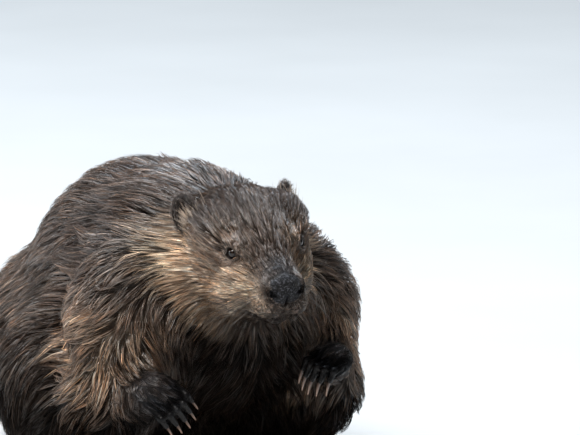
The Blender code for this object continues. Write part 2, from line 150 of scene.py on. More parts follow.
CLAW_FORE = {"length": 0.0135, "root": 0.0021, "tip": 0.0006, "droop": 0.0035}
CLAW_HIND = {"length": 0.0130, "root": 0.0027, "tip": 0.0009, "droop": 0.0026}

# Depth of the coat over the skin.
TRUNK_COAT, NECK_COAT, THIGH_COAT, TAIL_ROOT_COAT = 0.015, 0.012, 0.012, 0.009
HEAD_COAT, MUZZLE_COAT = 0.009, 0.0008
ARM_COAT, WRIST_COAT, PAW_COAT = 0.012, 0.0015, 0.0003


def head_axes():
    """Columns forward, left and up of the head."""
    yaw, pitch = radians(HEAD_YAW), radians(HEAD_PITCH)
    forward = np.array([-sin(yaw) * cos(pitch), -cos(yaw) * cos(pitch), sin(pitch)])
    side = np.array([cos(yaw), -sin(yaw), 0.0])
    return rolled(forward, side, np.cross(forward, side), radians(HEAD_ROLL))


HEAD_AXES = head_axes()


def in_head(points):
    return (points - NOSE_TIP) @ HEAD_AXES


def head_halves(points):
    """The points in the head frame, as they are and folded onto its left half."""
    h = in_head(points)
    return h, folded(h, 1)


def mirrored(local, side):
    """A place or way on the head's left half, taken to this side; it undoes itself."""
    return local * np.array([1, side, 1])


def own_side(h):
    """Factors that take a vector of the head's left half to the side that each point is on."""
    return np.column_stack(np.broadcast_arrays(1, np.sign(h[:, 1]), 1))


def from_head(local):
    return NOSE_TIP + local @ HEAD_AXES.T


def eye_centre(side):
    return from_head(mirrored(EYE_AT, side))


low_corner, high_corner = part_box("eye_right")
ORIGIN = np.array((low_corner + high_corner) / 2) - eye_centre(RIGHT)


# ------------------------------------------------------------------ distance fields


def join(a, b, soft):
    """Union of two distance fields with a fillet of about this size."""
    h = np.clip(0.5 + 0.5 * (b - a) / soft, 0, 1)
    return b + (a - b) * h - soft * h * (1 - h)


def joined(first, *others):
    """Union of a field with others, each given with the size of its fillet."""
    for other, soft in others:
        first = join(first, other, soft)
    return first


def carve(a, b, soft):
    return -join(-a, b, soft)


def egg(points, centre, radii, axes=None):
    """Distance to an ellipsoid."""
    local = points - centre
    if axes is not None:
        local = local @ axes
    local = local / radii
    near = np.linalg.norm(local, axis=1)
    slope = np.linalg.norm(local / radii, axis=1)
    return near * (near - 1) / np.maximum(slope, 1e-9)


def limb(points, start, end, start_radius, end_radius):
    """Distance to a round bar that tapers from start to end."""
    along = end - start
    t = np.clip((points - start) @ along / (along @ along), 0, 1)
    off = points - start - t[:, None] * along
    return np.linalg.norm(off, axis=1) - (start_radius + (end_radius - start_radius) * t)


def head_field(points):
    h, m = head_halves(points)
    braincase = egg(h, cm(-10.4, 0, 1.2), cm(6.2, 5.1, 4.7))
    cheeks = egg(m, cm(-9.2, 2.3, -1.4), cm(5.2, 2.9, 3.6))
    muzzle = limb(h, cm(-7.2, 0, 0.25), cm(-2.6, 0, -0.45), 0.0325, 0.0212)
    upper_lips = egg(m, cm(-2.9, 1.20, -1.85), cm(2.5, 1.30, 1.40))
    chin = limb(h, cm(-8.5, 0, -3.0), cm(-3.5, 0, -3.3), 0.027, 0.0115)
    brows = egg(m, cm(-6.3, 2.25, 2.5), cm(1.9, 1.0, 0.8))
    temples = egg(m, cm(-10.0, 3.6, 3.0), cm(3.2, 2.0, 2.0))
    nose_pad = egg(h, cm(-1.05, 0, -0.22), cm(1.0, 1.35, 1.30))
    return joined(
        braincase, (cheeks, 0.014), (muzzle, 0.014), (upper_lips, 0.009), (chin, 0.009),
        (brows, 0.008), (temples, 0.012), (nose_pad, 0.006),
    )


def head_coat(points):
    """Thin at the nose and round the eyes, deepest over the crown and cheeks."""
    h, m = head_halves(points)
    depth = mix(MUZZLE_COAT, HEAD_COAT, fade(-h[:, 0], 0.015, 0.120))
    return mix(MUZZLE_COAT, depth, fade(gap(m, EYE_AT), 0.006, 0.020))


def ear_axes():
    """Columns up the left ear, across it and the way its cup opens, in the head frame."""
    return axes_along([0.0, -0.05, 1.0], [0.42, 0.90, 0.0])


EAR_AXES = ear_axes()


def ear_shell(h, side):
    """One ear, for points in the head frame."""
    m = mirrored(h, side)
    centre = EAR_AT[side] + EAR_AXES[:, 0] * (EAR_HALF[0] - 0.0075)
    hollow_half = EAR_HALF - np.array([EAR_WALL, EAR_WALL, 0])
    shell = egg(m, centre, EAR_HALF, EAR_AXES)
    hollow = egg(m, centre + EAR_AXES[:, 2] * 0.0052, hollow_half, EAR_AXES)
    ridge_from = centre + EAR_AXES @ cm(-1.0, 0.25, 0.0)
    ridge_to = centre + EAR_AXES @ cm(0.75, 0.30, -0.30)
    ear = carve(shell, hollow, 0.0015)
    return join(ear, limb(m, ridge_from, ridge_to, 0.0022, 0.0009), 0.003)


def ears(h):
    return np.minimum(ear_shell(h, LEFT), ear_shell(h, RIGHT))


def trunk_field(points):
    m = folded(points, 0)
    ribcage = egg(points, cm(0, -4.0, 17.2), cm(10.4, 10.6, 11.0), turned(pitch=-18))
    back = egg(points, cm(0, 4.0, 16.8), cm(11.5, 12.8, 12.2))
    belly = egg(points, cm(0, 8.0, 10.3), cm(13.6, 16.0, 9.8))
    rump = egg(points, cm(0, 14.5, 10.6), cm(11.8, 11.8, 10.0))
    shoulders = egg(m, cm(8.3, -7.5, 16.4), cm(5.4, 6.5, 7.8))
    return joined(ribcage, (back, 0.035), (belly, 0.035), (rump, 0.035), (shoulders, 0.025))


def neck_field(points):
    return limb(points, cm(0, -6.0, 19.0), from_head(cm(-11.5, 0, -0.8)), 0.098, 0.052)


def shoulder_joint(side):
    return cm(9.3 * side, -7.5, 16.5)


def foreleg_field(points, side):
    upper_arm = limb(points, shoulder_joint(side), ELBOW[side], 0.050, 0.036)
    forearm = limb(points, ELBOW[side], WRIST[side], 0.034, 0.0130)
    return join(upper_arm, forearm, 0.02)


def near_wrist(points, side, reach):
    """1 at the wrist, fading to 0 at this distance from it."""
    return 1 - fade(gap(points, WRIST[side]), 0.012, reach)


def foreleg_coat(points, side):
    return mix(ARM_COAT, WRIST_COAT, near_wrist(points, side, 0.060))


def finger(side, n):
    """Knuckle, bend and tip of forefoot digit n; digit 0 is the inner one."""
    spread = (n - DIGITS // 2) * side
    axes = HAND_AXES[side]
    knuckle = WRIST[side] + axes @ cm(1.2, 0.70 * spread, 0.15)
    first = unit(axes @ np.array([1.0, 0.05 * spread, 0.30]))
    second = unit(axes @ np.array([1.0, 0.03 * spread, -FINGER_CURL[side]]))
    bend = knuckle + first * FINGER_LENGTHS[n] * 0.55
    return knuckle, bend, bend + second * FINGER_LENGTHS[n] * 0.45


def forepaw_field(points, side):
    axes = HAND_AXES[side]
    d = egg(points, WRIST[side] + axes @ cm(0.6, 0, -0.05), cm(1.6, 1.55, 0.95), axes)
    for n in range(DIGITS):
        knuckle, bend, tip = finger(side, n)
        first = limb(points, knuckle, bend, 0.0039, 0.0035)
        second = limb(points, bend, tip, 0.0035, 0.0028)
        d = join(d, join(first, second, 0.002), 0.0020)
    return d


def thigh_field(points):
    m = folded(points, 0)
    thigh = egg(m, cm(9.3, 3.6, 8.6), cm(5.8, 10.6, 8.2), turned(yaw=6, pitch=14))
    shank = limb(m, cm(10.7, -6.3, 8.0), HEEL + cm(0.3, -1.5, 0.6), 0.045, 0.026)
    return join(thigh, shank, 0.03)


def toe(n):
    """Root, bend and tip of toe n of the left hind foot; toe 0 is the inner one."""
    spread = n - DIGITS // 2
    way = FOOT_AXES @ np.array([sin(radians(spread * TOE_FAN)), -cos(radians(spread * TOE_FAN)), 0])
    root = HEEL + FOOT_AXES @ cm(0.85 * spread, -6.6, -1.12)
    bend = root + way * TOE_LENGTHS[n] * 0.6 + cm(0, 0, 0.02)
    return root, bend, root + way * TOE_LENGTHS[n] - cm(0, 0, 0.24)


def web_field(m):
    """The skin between the hind toes, a thin fan with a scalloped edge."""
    local = (m - HEEL) @ FOOT_AXES
    reach = np.hypot(local[:, 0], local[:, 1])
    angle = np.arctan2(local[:, 0], -local[:, 1])
    edge = 0.150 - 0.006 * np.cos(40 * angle)
    fan = np.maximum(reach - edge, (np.abs(angle + radians(1)) - radians(21)) * reach)
    return np.maximum(fan, np.abs(local[:, 2] + 0.0128) - 0.0022)


def hindfoot_field(points):
    m = folded(points, 0)
    heel = limb(m, HEEL, HEEL + FOOT_AXES @ cm(0.1, -3.5, -0.3), 0.0205, 0.017)
    instep = egg(m, HEEL + FOOT_AXES @ cm(0.1, -4.6, -0.6), cm(2.5, 4.2, 1.35), FOOT_AXES)
    d = join(heel, instep, 0.008)
    for n in range(DIGITS):
        root, bend, tip = toe(n)
        one = join(limb(m, root, bend, 0.0085, 0.0077), limb(m, bend, tip, 0.0078, 0.0052), 0.003)
        d = join(d, one, 0.006)
    return join(d, web_field(m), 0.002)


def tail_field(points):
    stem = limb(points, TAIL_ROOT, TAIL_NECK, 0.068, 0.021)
    q = (points - PADDLE_AT) @ turned(yaw=PADDLE_YAW) / PADDLE_HALF
    plan = (np.abs(q[:, 0]) ** 2.5 + np.abs(q[:, 1]) ** 2.5) ** 0.4
    paddle = (np.hypot(plan, q[:, 2]) - 1) * PADDLE_HALF[2]
    return join(stem, paddle, 0.02)


def tail_coat(points):
    return TAIL_ROOT_COAT * (1 - fade(points[:, 1], 0.245, 0.312)) + PAW_COAT


def body_field(points, bare):
    """The whole body: out to the tips of the coat where bare is 0, the skin where bare is 1."""
    d = join(trunk_field(points) + bare * TRUNK_COAT, neck_field(points) + bare * NECK_COAT, 0.04)
    d = join(d, head_field(points) + bare * head_coat(points), 0.022)
    for side in (LEFT, RIGHT):
        foreleg = foreleg_field(points, side) + bare * foreleg_coat(points, side)
        forepaw = forepaw_field(points, side) + bare * PAW_COAT
        d = join(d, join(foreleg, forepaw, 0.010), 0.012)
    thigh = thigh_field(points) + bare * THIGH_COAT
    hindfoot = hindfoot_field(points) + bare * PAW_COAT
    tail = tail_field(points) + bare * tail_coat(points)
    return joined(d, (join(thigh, hindfoot, 0.012), 0.018), (tail, 0.05))


def bare_field(points):
    return body_field(points, 1.0)


def outline_field(points):
    return body_field(points, 0.0)


# ------------------------------------------------------------------ folds of the face and paws

EYE_LOOK = unit([0.42, 0.89, 0.14])


def eye_axes():
    """Columns out of the left eye, towards the nose and up, in the head frame, the corners aslant."""
    towards_nose = unit(np.array([1, 0, 0]) - EYE_LOOK * EYE_LOOK[0])
    return rolled(EYE_LOOK, towards_nose, np.cross(towards_nose, EYE_LOOK), radians(-14))


EYE_AXES = eye_axes()
LID_THICKNESS = 0.0011


def add_lids(m, d):
    """Lids round the eyeball, wrinkles about them, and the opening with its corner by the nose."""
    e = (m - EYE_AT) @ EYE_AXES
    beyond = np.linalg.norm(e, axis=1) - (EYE_RADIUS + LID_THICKNESS)
    wrinkles = 0.00035 * np.sin(beyond * 2 * pi / 0.0024) * np.exp(-((beyond - 0.003) / 0.0022) ** 2)
    opening = egg(e, cm(0.50, 0, 0), cm(0.64, 0.52, 0.50))
    corner = limb(e, cm(0.46, 0.30, -0.04), cm(0.30, 0.66, -0.12), 0.0010, 0.0003)
    return carve(join(d, beyond, 0.005) + wrinkles, join(opening, corner, 0.001), 0.0010)


# Front, middle and back of the left nostril.
NOSTRIL_AT = cm(-0.22, 0.98, -0.62), cm(-0.52, 1.36, -0.30), cm(-1.10, 1.60, 0.12)


def nostril_field(m):
    front, middle, back = NOSTRIL_AT
    return join(limb(m, front, middle, 0.0016, 0.0034), limb(m, middle, back, 0.0034, 0.0014), 0.001)


def add_nostrils(m, d):
    wing = egg(m, cm(-1.05, 1.15, -0.15), cm(0.75, 0.42, 0.75))
    rim = limb(m, NOSTRIL_AT[1], NOSTRIL_AT[2], 0.0042, 0.0028)
    return carve(joined(d, (wing, 0.004), (rim, 0.003)), nostril_field(m), 0.0012)


def add_mouth(h, m, d):
    cleft = egg(h, cm(-0.7, 0, -1.75), cm(1.5, 0.09, 1.25))
    slit = egg(h, cm(-3.4, 0, -2.78), cm(3.1, 3.4, 0.11))
    pads = egg(m, cm(-2.1, 1.20, -1.95), cm(1.3, 0.90, 0.95))
    return join(carve(carve(d, cleft, 0.0022), slit, 0.0018), pads, 0.004)


def add_face(points, d):
    h = in_head(points)
    near = np.flatnonzero(gap(h, cm(-7.5, 0, 0)) < 0.12)
    if not len(near):
        return d
    h = h[near]
    m = folded(h, 1)
    face = add_lids(m, add_nostrils(m, add_mouth(h, m, d[near])))
    d = d.copy()
    d[near] = join(face, ears(h), 0.003)
    return d


def add_paw_folds(points, d):
    """Creases across the joints of the fore digits."""
    d = d.copy()
    for side in (LEFT, RIGHT):
        near = np.flatnonzero(gap(points, finger(side, DIGITS // 2)[0]) < 0.045)
        p = points[near]
        for n in range(DIGITS):
            _, bend, tip = finger(side, n)
            way = unit(tip - bend)
            for joint, reach in ((bend, 0.0062), (tip - way * 0.004, 0.0048)):
                close = np.exp(-(gap(p, joint) / reach) ** 4)
                d[near] += close * 0.00022 * np.cos((p - joint) @ way * 2 * pi / 0.0017)
    return d


FLOOR_CLEARANCE = 0.0002


def skin_field(points):
    d = add_face(points, bare_field(points))
    d = add_paw_folds(points, d)
    return carve(d, points[:, 2] - FLOOR_CLEARANCE, 0.0015)


# ------------------------------------------------------------------ meshing a field


def spread(work, points, size=20000):
    """Runs work over the points in slices, on every core."""
    slices = np.array_split(points, max(1, len(points) // size))
    return np.concatenate(list(WORKERS.map(work, slices)))


BLOCK = 4  # grid cells along each side of a block
CORNERS = list(product((0, 1), repeat=3))  # of a grid cell


def at_corner(corner, counts):
    """The part of a grid of corner values that holds this corner of every cell."""
    return tuple(slice(start, start + count) for start, count in zip(corner, counts))


def in_cells(blocks):
    """Values of blocks, given to each of their cells."""
    for axis in range(3):
        blocks = blocks.repeat(BLOCK, axis)
    return blocks


def grid_values(field, low, cell, counts):
    """The field at the corners of a grid; blocks far from the surface keep only their sign."""
    blocks = counts // BLOCK
    centres = [low[i] + (np.arange(blocks[i]) + 0.5) * cell * BLOCK for i in range(3)]
    middle = np.stack(np.meshgrid(*centres, indexing="ij"), -1).reshape(-1, 3)
    distance = spread(field, middle).reshape(blocks)
    values = np.ones(counts + 1)
    values[at_corner((0, 0, 0), counts)] = in_cells(np.where(distance < 0, -1.0, 1.0))
    near = in_cells(np.abs(distance) < cell * BLOCK + 0.004)
    wanted = np.zeros(counts + 1, bool)
    for corner in CORNERS:
        wanted[at_corner(corner, counts)] |= near
    values[wanted] = spread(field, low + np.argwhere(wanted) * cell)
    return values


def net(field, low, high, cell):
    """Points and quads of the field's surface: a point in each grid cell that it passes through."""
    counts = (np.ceil((high - low) / (cell * BLOCK)).astype(int) + 1) * BLOCK
    values = grid_values(field, low, cell, counts)
    inside = values < 0
    filled = sum(inside[at_corner(corner, counts)].astype(int) for corner in CORNERS)
    crossed = (filled > 0) & (filled < len(CORNERS))
    cells = np.argwhere(crossed)
    total, hits = np.zeros((len(cells), 3)), np.zeros(len(cells))
    corner_values = {corner: values[tuple((cells + corner).T)] for corner in CORNERS}
    for corner in CORNERS:
        for step in np.eye(3, dtype=int)[np.array(corner) == 0]:
            a, b = corner_values[corner], corner_values[tuple((step + corner).tolist())]
            cross = (a < 0) != (b < 0)
            t = np.where(cross, a / np.where(cross, a - b, 1), 0)
            total += np.where(cross[:, None], np.array(corner) + t[:, None] * step, 0)
            hits += cross
    index = np.full(crossed.shape, -1)
    index[crossed] = np.arange(len(cells))
    quads = []
    for axis in range(3):
        near, far = [slice(None)] * 3, [slice(None)] * 3
        near[axis], far[axis] = slice(None, -1), slice(1, None)
        at = np.argwhere(inside[tuple(near)] != inside[tuple(far)])
        ring = []
        for beside in ((-1, -1), (0, -1), (0, 0), (-1, 0)):
            shift = np.zeros(3, int)
            shift[[(axis + 1) % 3, (axis + 2) % 3]] = beside
            ring.append(index[tuple((at + shift).T)])
        quad = np.stack(ring, axis=1)
        inward = ~inside[tuple(at.T)]
        quad[inward] = quad[inward, ::-1]
        quads.append(quad)
    return low + (cells + total / hits[:, None]) * cell, np.concatenate(quads)


def slope_of(field, points, step):
    steps = np.eye(3) * step
    return np.column_stack([(field(points + way) - field(points - way)) / (2 * step) for way in steps])


def settled(points):
    """Each point moved along the skin's slope onto the skin."""
    slope = slope_of(skin_field, points, 0.0003)
    reach = skin_field(points) / np.maximum((slope**2).sum(axis=1), 0.1)
    return points - np.clip(reach, -0.0015, 0.0015)[:, None] * slope


# ------------------------------------------------------------------ mesh objects


def placed(name, data):
    """An object in the scene, at the origin."""
    obj = bpy.data.objects.new(name, data)
    bpy.context.scene.collection.objects.link(obj)
    return obj


def show(name, mesh, finish):
    obj = placed(name, mesh)
    obj.location = ORIGIN
    mesh.materials.append(finish)
    mesh.shade_smooth()
    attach(obj, "root")
    return obj


def mesh_from(name, points, faces):
    mesh = bpy.data.meshes.new(name)
    mesh.from_pydata(np.array(points).tolist(), [], faces)
    return mesh


def turns(sides):
    """The angles of a ring's points."""
    return [2 * pi * side / sides for side in range(sides)]


def ring_faces(rings, sides, start=0):
    """Quads between rings of points that follow one another."""
    faces = []
    for ring in range(start, start + (rings - 1) * sides, sides):
        for side in range(sides):
            a, b = ring + side, ring + (side + 1) % sides
            faces.append((a, b, b + sides, a + sides))
    return faces


def fan_faces(start, sides, tip):
    """Triangles from a ring of points to one point."""
    return [(start + side, start + (side + 1) % sides, tip) for side in range(sides)]


def tube_faces(rings, sides, start=0):
    """Rings of points joined, with a cap at each end."""
    last = start + (rings - 1) * sides
    caps = [tuple(range(start, start + sides))[::-1], tuple(range(last, last + sides))]
    return ring_faces(rings, sides, start) + caps


def mesh_points(mesh):
    points = np.empty(len(mesh.vertices) * 3, np.float32)
    mesh.vertices.foreach_get("co", points)
    return points.reshape(-1, 3).astype(float)


def set_mesh_points(mesh, points):
    mesh.vertices.foreach_set("co", points.astype(np.float32).ravel())
    mesh.update()


def settle(mesh):
    set_mesh_points(mesh, spread(settled, mesh_points(mesh)))


def paint(mesh, name, colours):
    """A colour, or one value, on every point, as an attribute that a material reads by name."""
    colours = np.array(colours)
    rgba = np.ones((len(colours), 4), np.float32)
    rgba[:, : colours.shape[1] if colours.ndim > 1 else 3] = colours.reshape(len(colours), -1)
    mesh.color_attributes.new(name, "FLOAT_COLOR", "POINT").data.foreach_set("color", rgba.ravel())


# ------------------------------------------------------------------ markings and painted shade, shared by skin and coat

BROWN = np.array([0.115, 0.083, 0.064])
DARK_BROWN = np.array([0.030, 0.021, 0.016])
GREY_BROWN = np.array([0.092, 0.072, 0.063])
GOLD = np.array([0.260, 0.175, 0.115])
TAN = np.array([0.430, 0.325, 0.238])
PALE = np.array([0.660, 0.540, 0.400])
LID = np.array([0.020, 0.016, 0.015])
SLATE = np.array([0.012, 0.012, 0.014])
# Dark wet fur of the chest, darkened further as painted shade under the head and between the forelegs.
SHADED_CHEST = np.array([0.013, 0.009, 0.007])
EAR_DARK = np.array([0.024, 0.021, 0.021])
TAIL_DARK = np.array([0.030, 0.026, 0.024])


def patch(points, centre, radius):
    """1 at the centre, falling away smoothly over about the radius."""
    return np.exp(-(((points - centre) / radius) ** 2).sum(axis=1))


def wave_sum(points, length, seed, terms=5):
    """Smooth noise between about -1 and 1 whose features are about this length across."""
    draws = np.random.default_rng(seed)
    total = np.zeros(len(points))
    for _ in range(terms):
        way = unit(draws.normal(size=3)) * 2 * pi / (length * draws.uniform(0.7, 1.6))
        total += np.sin(points @ way + draws.uniform(0, 2 * pi))
    return total / terms**0.5


def markings_and_shade(points):
    """The coat's and the skin's colour at each point, with painted shade low on the body, on the chest,
    under the mouth and chin and in the nostrils.
    """
    h, m = head_halves(points)
    height = points[:, 2]
    on_head = fade(-head_field(points), -0.010, 0.002)
    front = fade(-points[:, 1], 0.02, 0.12)
    middle = 1 - fade(np.abs(points[:, 0]), 0.03, 0.085)
    golden = fade(height, 0.080, 0.125) * (1 - fade(height, 0.15, 0.21))
    cheeks = fade(0.012 - h[:, 2], -0.02, 0.03) * fade(m[:, 1], 0.010, 0.030)
    from_eye = gap(m, EYE_AT)
    eye_ring = fade(from_eye, 0.0066, 0.0078) * (1 - fade(from_eye, 0.0090, 0.0120))

    layers = [  # each a colour and how much of what lies under it that it covers
        (GREY_BROWN, 0.8 * fade(height, 0.15, 0.24)),
        # Painted shade: these two layers darken the body towards the floor, as though the ground shaded it.
        (DARK_BROWN, 0.95 * fade(0.190 - height, 0, 0.08)),
        (DARK_BROWN * 0.32, 0.95 * fade(0.145 - height, 0, 0.05)),
    ]
    for side in (LEFT, RIGHT):
        arm = fade(-foreleg_field(points, side), -0.014, 0.004)
        hand = fade(-forepaw_field(points, side), -0.004, -0.001)
        wrist = near_wrist(points, side, 0.058)
        layers += [(GOLD, 0.75 * arm * golden), (SLATE * 2.0, 0.9 * wrist), (SLATE * 0.6, hand)]
    layers += [
        # Painted shade on the dark wet fur of the chest and belly, under the head and between the forelegs.
        (SHADED_CHEST, 0.95 * front * middle * fade(0.20 - height, 0, 0.06)),
        (DARK_BROWN * 1.3, 0.82 * on_head * fade(h[:, 2], 0.008, 0.032)),
        (TAN, on_head * 0.90 * cheeks),
        (PALE, 0.85 * patch(m, cm(-12.6, 5.0, -0.3), cm(2.4, 2.2, 1.8))),
        (TAN, 0.7 * patch(m, cm(-10.5, 4.5, 1.0), cm(1.8, 1.6, 1.3))),
        (PALE, 0.6 * on_head * patch(m, cm(-3.6, 2.6, -1.0), cm(1.9, 1.4, 1.2))),
        (TAN, 0.30 * patch(m, EYE_AT, cm(1.5, 1.4, 1.2))),
        (SLATE * 1.2, 0.95 * patch(h, cm(-1.9, 0, 1.0), cm(2.2, 1.5, 1.2))),
        # Painted shadow under the mouth, on the chin and down the throat.
        (DARK_BROWN * 0.8, 0.95 * patch(h, cm(-2.8, 0, -3.0), cm(3.0, 3.2, 1.2))),
        (SHADED_CHEST * 1.5, 0.95 * patch(h, cm(-3.5, 0, -4.2), cm(3.4, 2.8, 1.5))),
        (DARK_BROWN, 0.9 * patch(h, cm(-6.5, 0, -5.8), cm(4.5, 5.5, 2.2))),
        (SLATE * 0.5, nose_leather(h)),
        # Painted shade inside the nostrils.
        (SLATE * 0.1, fade(-nostril_field(m), -0.0008, 0.0004)),
        (BROWN * 1.7, 0.8 * eye_ring),
        (LID, 1 - fade(from_eye, 0.0065, 0.0077)),
        (EAR_DARK, 0.65 * fade(-ears(h), -0.0015, 0.0)),
        (SLATE, fade(-hindfoot_field(points), -0.006, -0.001)),
        (TAIL_DARK, fade(points[:, 1], 0.285, 0.315)),
    ]
    colours = np.tile(BROWN, (len(points), 1))
    for colour, share in layers:
        colours = mix(colours, colour, np.clip(share, 0, 1)[:, None])
    shade = 1 + 0.16 * wave_sum(points, 0.05, 41) + 0.10 * wave_sum(points, 0.016, 42)
    streak = mix(back_streaks(points), face_streaks(h), on_head) * (1 - bareness(points))
    return colours * np.clip(shade, 0.5, 1.6)[:, None] * np.exp(streak[:, None] * STREAK_TINT)


def face_streaks(h):
    """Fine light and dark lines that fan out from the nose with the hair."""
    fan = units(h - cm(5.0, 0, -0.9))
    return wave_sum(fan, 0.013, 45, 7) + 0.7 * wave_sum(fan, 0.035, 46)


def sideways(points):
    """From -1 well out on the right, through 0 at the middle, to 1 well out on the left."""
    return points[:, 0] / (np.abs(points[:, 0]) + 0.03)


def ways(x, y, z):
    """Rows of length 1 from three parts, each a number or a number for every row."""
    return units(np.column_stack(np.broadcast_arrays(x, y, z)))


def back_streaks(points):
    """Light and dark streams that run back and down the body."""
    way = ways(0.40 * sideways(points), 0.85, -0.30)
    drawn = points - 0.85 * (points * way).sum(axis=1, keepdims=True) * way
    return wave_sum(drawn, 0.008, 47, 7) + 0.7 * wave_sum(drawn, 0.020, 48)


STREAK_TINT = np.array([0.32, 0.40, 0.46])  # dark streaks are redder


def root_shade_share(tint):
    """How bright the coat is at its roots, as a share of its colour: painted shade deep in the coat; pale
    fur stays pale there.
    """
    return mix(0.14, 0.42, fade(tint.mean(axis=1), 0.14, 0.42))[:, None]


def nose_leather(h):
    """1 on the leather of the nose, with a ragged edge."""
    ragged = 0.0006 * wave_sum(h, 0.005, 43)
    return fade(-egg(h, cm(-0.75, 0, -0.20), cm(1.3, 1.55, 1.28)) + ragged, -0.0012, 0.0006)


def bareness(points):
    """1 on nose leather, paws, soles and tail paddle, 0 where the coat grows."""
    h, m = head_halves(points)
    lids = 1 - fade(gap(m, EYE_AT), 0.0063, 0.0072)
    bare = np.maximum(nose_leather(h), lids)
    for side in (LEFT, RIGHT):
        ahead = (points - WRIST[side]) @ HAND_AXES[side][:, 0]
        hand = fade(-forepaw_field(points, side), -0.003, -0.0012)
        bare = np.maximum(bare, hand * fade(ahead, 0.015, 0.027))
    bare = np.maximum(bare, fade(-hindfoot_field(points), -0.003, -0.001))
    return np.maximum(bare, fade(points[:, 1], 0.300, 0.315))


# ------------------------------------------------------------------ lie of the coat


def flow(points):
    """The way the hair points, before it is laid along the skin."""
    h, m = head_halves(points)
    s = sideways(points)
    y, z = points[:, 1], points[:, 2]

    face = units(h - cm(0.3, 0, -0.9)) * 0.9 + np.array([-0.5, 0, 0])
    face[:, 2] -= 0.25 * fade(-h[:, 2], -0.02, 0.02)
    round_eye = units(h - EYE_AT * own_side(h))
    face = units(face) + 2.2 * round_eye * (1 - fade(gap(m, EYE_AT), 0.007, 0.0135))[:, None]
    head_way = units(face @ HEAD_AXES.T)

    back_way = ways(0.40 * s, 0.85, -0.22)
    chest = fade(-y, 0.03, 0.13) * (1 - fade(z, 0.15, 0.23))
    trunk_way = mix(back_way, ways(0.15 * s, 0.55, -0.75), fade(y, 0.02, 0.17)[:, None])
    trunk_way = mix(trunk_way, ways(0.2 * s, 0.75, -0.45), (1 - fade(z, 0.06, 0.15))[:, None])
    trunk_way = mix(trunk_way, ways(0.75 * s, 0.25, -0.60), chest[:, None])

    parts = [  # each a field, the way of the hair on it and its weight
        (head_field(points), head_way, 1.6),
        (trunk_field(points), trunk_way, 1.0),
        (neck_field(points), back_way, 0.8),
        (thigh_field(points), ways(0.15 * s, 0.45, -0.55), 1.0),
        (tail_field(points), np.array([0, 1, -0.1]), 1.0),
    ]
    for side in (LEFT, RIGHT):
        along_arm = unit(WRIST[side] - ELBOW[side])
        fore = unit(mix(along_arm, HAND_AXES[side][:, 0], 0.75))
        share = near_wrist(points, side, 0.085)[:, None]
        way = mix(ways(0.55 * side, 0.30, -0.78), fore, share)
        parts.append((foreleg_field(points, side), way, 2.0))
    total = np.zeros_like(points)
    for distance, way, weight in parts:
        total += way * (weight * np.exp(-np.maximum(distance, 0) / 0.008))[:, None]
    return units(total)


def from_nose(points):
    """Distance of each point from the tip of the nose."""
    return gap(in_head(points), cm(-0.5, 0, 0))


def coat_length(points):
    """Length of the locks."""
    nose_gap = from_nose(points)
    length = 0.0035 + 0.027 * fade(nose_gap, 0.012, 0.085) + 0.020 * fade(nose_gap, 0.12, 0.20)
    length = mix(0.0026, length, fade(gap(head_halves(points)[1], EYE_AT), 0.006, 0.020))
    for side in (LEFT, RIGHT):
        on_arm = fade(-foreleg_field(points, side), -0.012, 0.0)
        length = mix(length, 0.027, on_arm)
        length = mix(length, 0.011, near_wrist(points, side, 0.050))
    length = mix(length, 0.009, fade(-hindfoot_field(points), -0.020, -0.004))
    return mix(length, 0.010, fade(points[:, 1], 0.24, 0.30))


def laid(way, normal, turn):
    """The way laid along the skin and turned by this angle about the normal."""
    along = units(way - normal * (way * normal).sum(axis=1, keepdims=True))
    across = np.cross(normal, along)
    return along * np.cos(turn)[:, None] + across * np.sin(turn)[:, None]


GUIDE_STEPS = 8


def head_share(points):
    """1 on the head, fading to 0 off it."""
    return fade(-head_field(points), -0.012, 0.0)


def guide_wander(points):
    """How far, in radians, the locks stray from the lie of the coat."""
    on_head = head_share(points)
    messy = fade(-points[:, 1], -0.06, 0.04) * (1 - fade(points[:, 2], 0.20, 0.27))
    broad = mix(mix(0.20, 0.42, messy), 0.10, on_head)
    fine = mix(mix(0.10, 0.22, messy), 0.07, on_head)
    return broad * wave_sum(points, 0.095, 11) + fine * wave_sum(points, 0.028, 12)


def march(roots, lengths, levels):
    """Paths that start on the skin, rise into the coat and follow its lie."""

    def one(rows):
        p, length, level = rows[:, :3].copy(), rows[:, 3], rows[:, 4]
        paths, normals = [], []
        stray = guide_wander(p)
        for t in np.arange(GUIDE_STEPS) / (GUIDE_STEPS - 1):
            normal = units(slope_of(bare_field, p, 0.001))
            if t:
                way = laid(flow(p), normal, stray + 0.35 * guide_wander(p + 0.05))
                p = p + way * (length / (GUIDE_STEPS - 1))[:, None]
                depth = bare_field(p) - outline_field(p)
                rise = (1 - np.exp(-t / 0.28)) * (1 - 0.10 * t)
                lift = depth * level * rise - bare_field(p)
                p = p + normal * np.clip(lift, -0.006, 0.006)[:, None]
                p[:, 2] = np.maximum(p[:, 2], 0.0012)
            paths.append(p)
            normals.append(normal)
        return np.concatenate([np.stack(paths, 1), np.stack(normals, 1)], axis=2)

    made = spread(one, np.column_stack([roots, lengths, levels]), size=1500)
    return made[:, :, :3], made[:, :, 3:]


def nearest(points, targets):
    tree = KDTree(len(targets))
    for i, target in enumerate(targets):
        tree.insert(target, i)
    tree.balance()
    return np.array([tree.find(p)[1] for p in points])


def gathered(guides, leaders, strength):
    """Paths drawn towards their leader's as they near the tip, which makes pointed locks."""
    t = np.linspace(0, 1, GUIDE_STEPS)[None, :, None]
    offset = (guides["roots"] - leaders["roots"])[:, None, :]
    return mix(guides["paths"], leaders["paths"] + offset * (1 - 0.9 * t), strength[:, None, None] * t**1.2)


# ------------------------------------------------------------------ skin


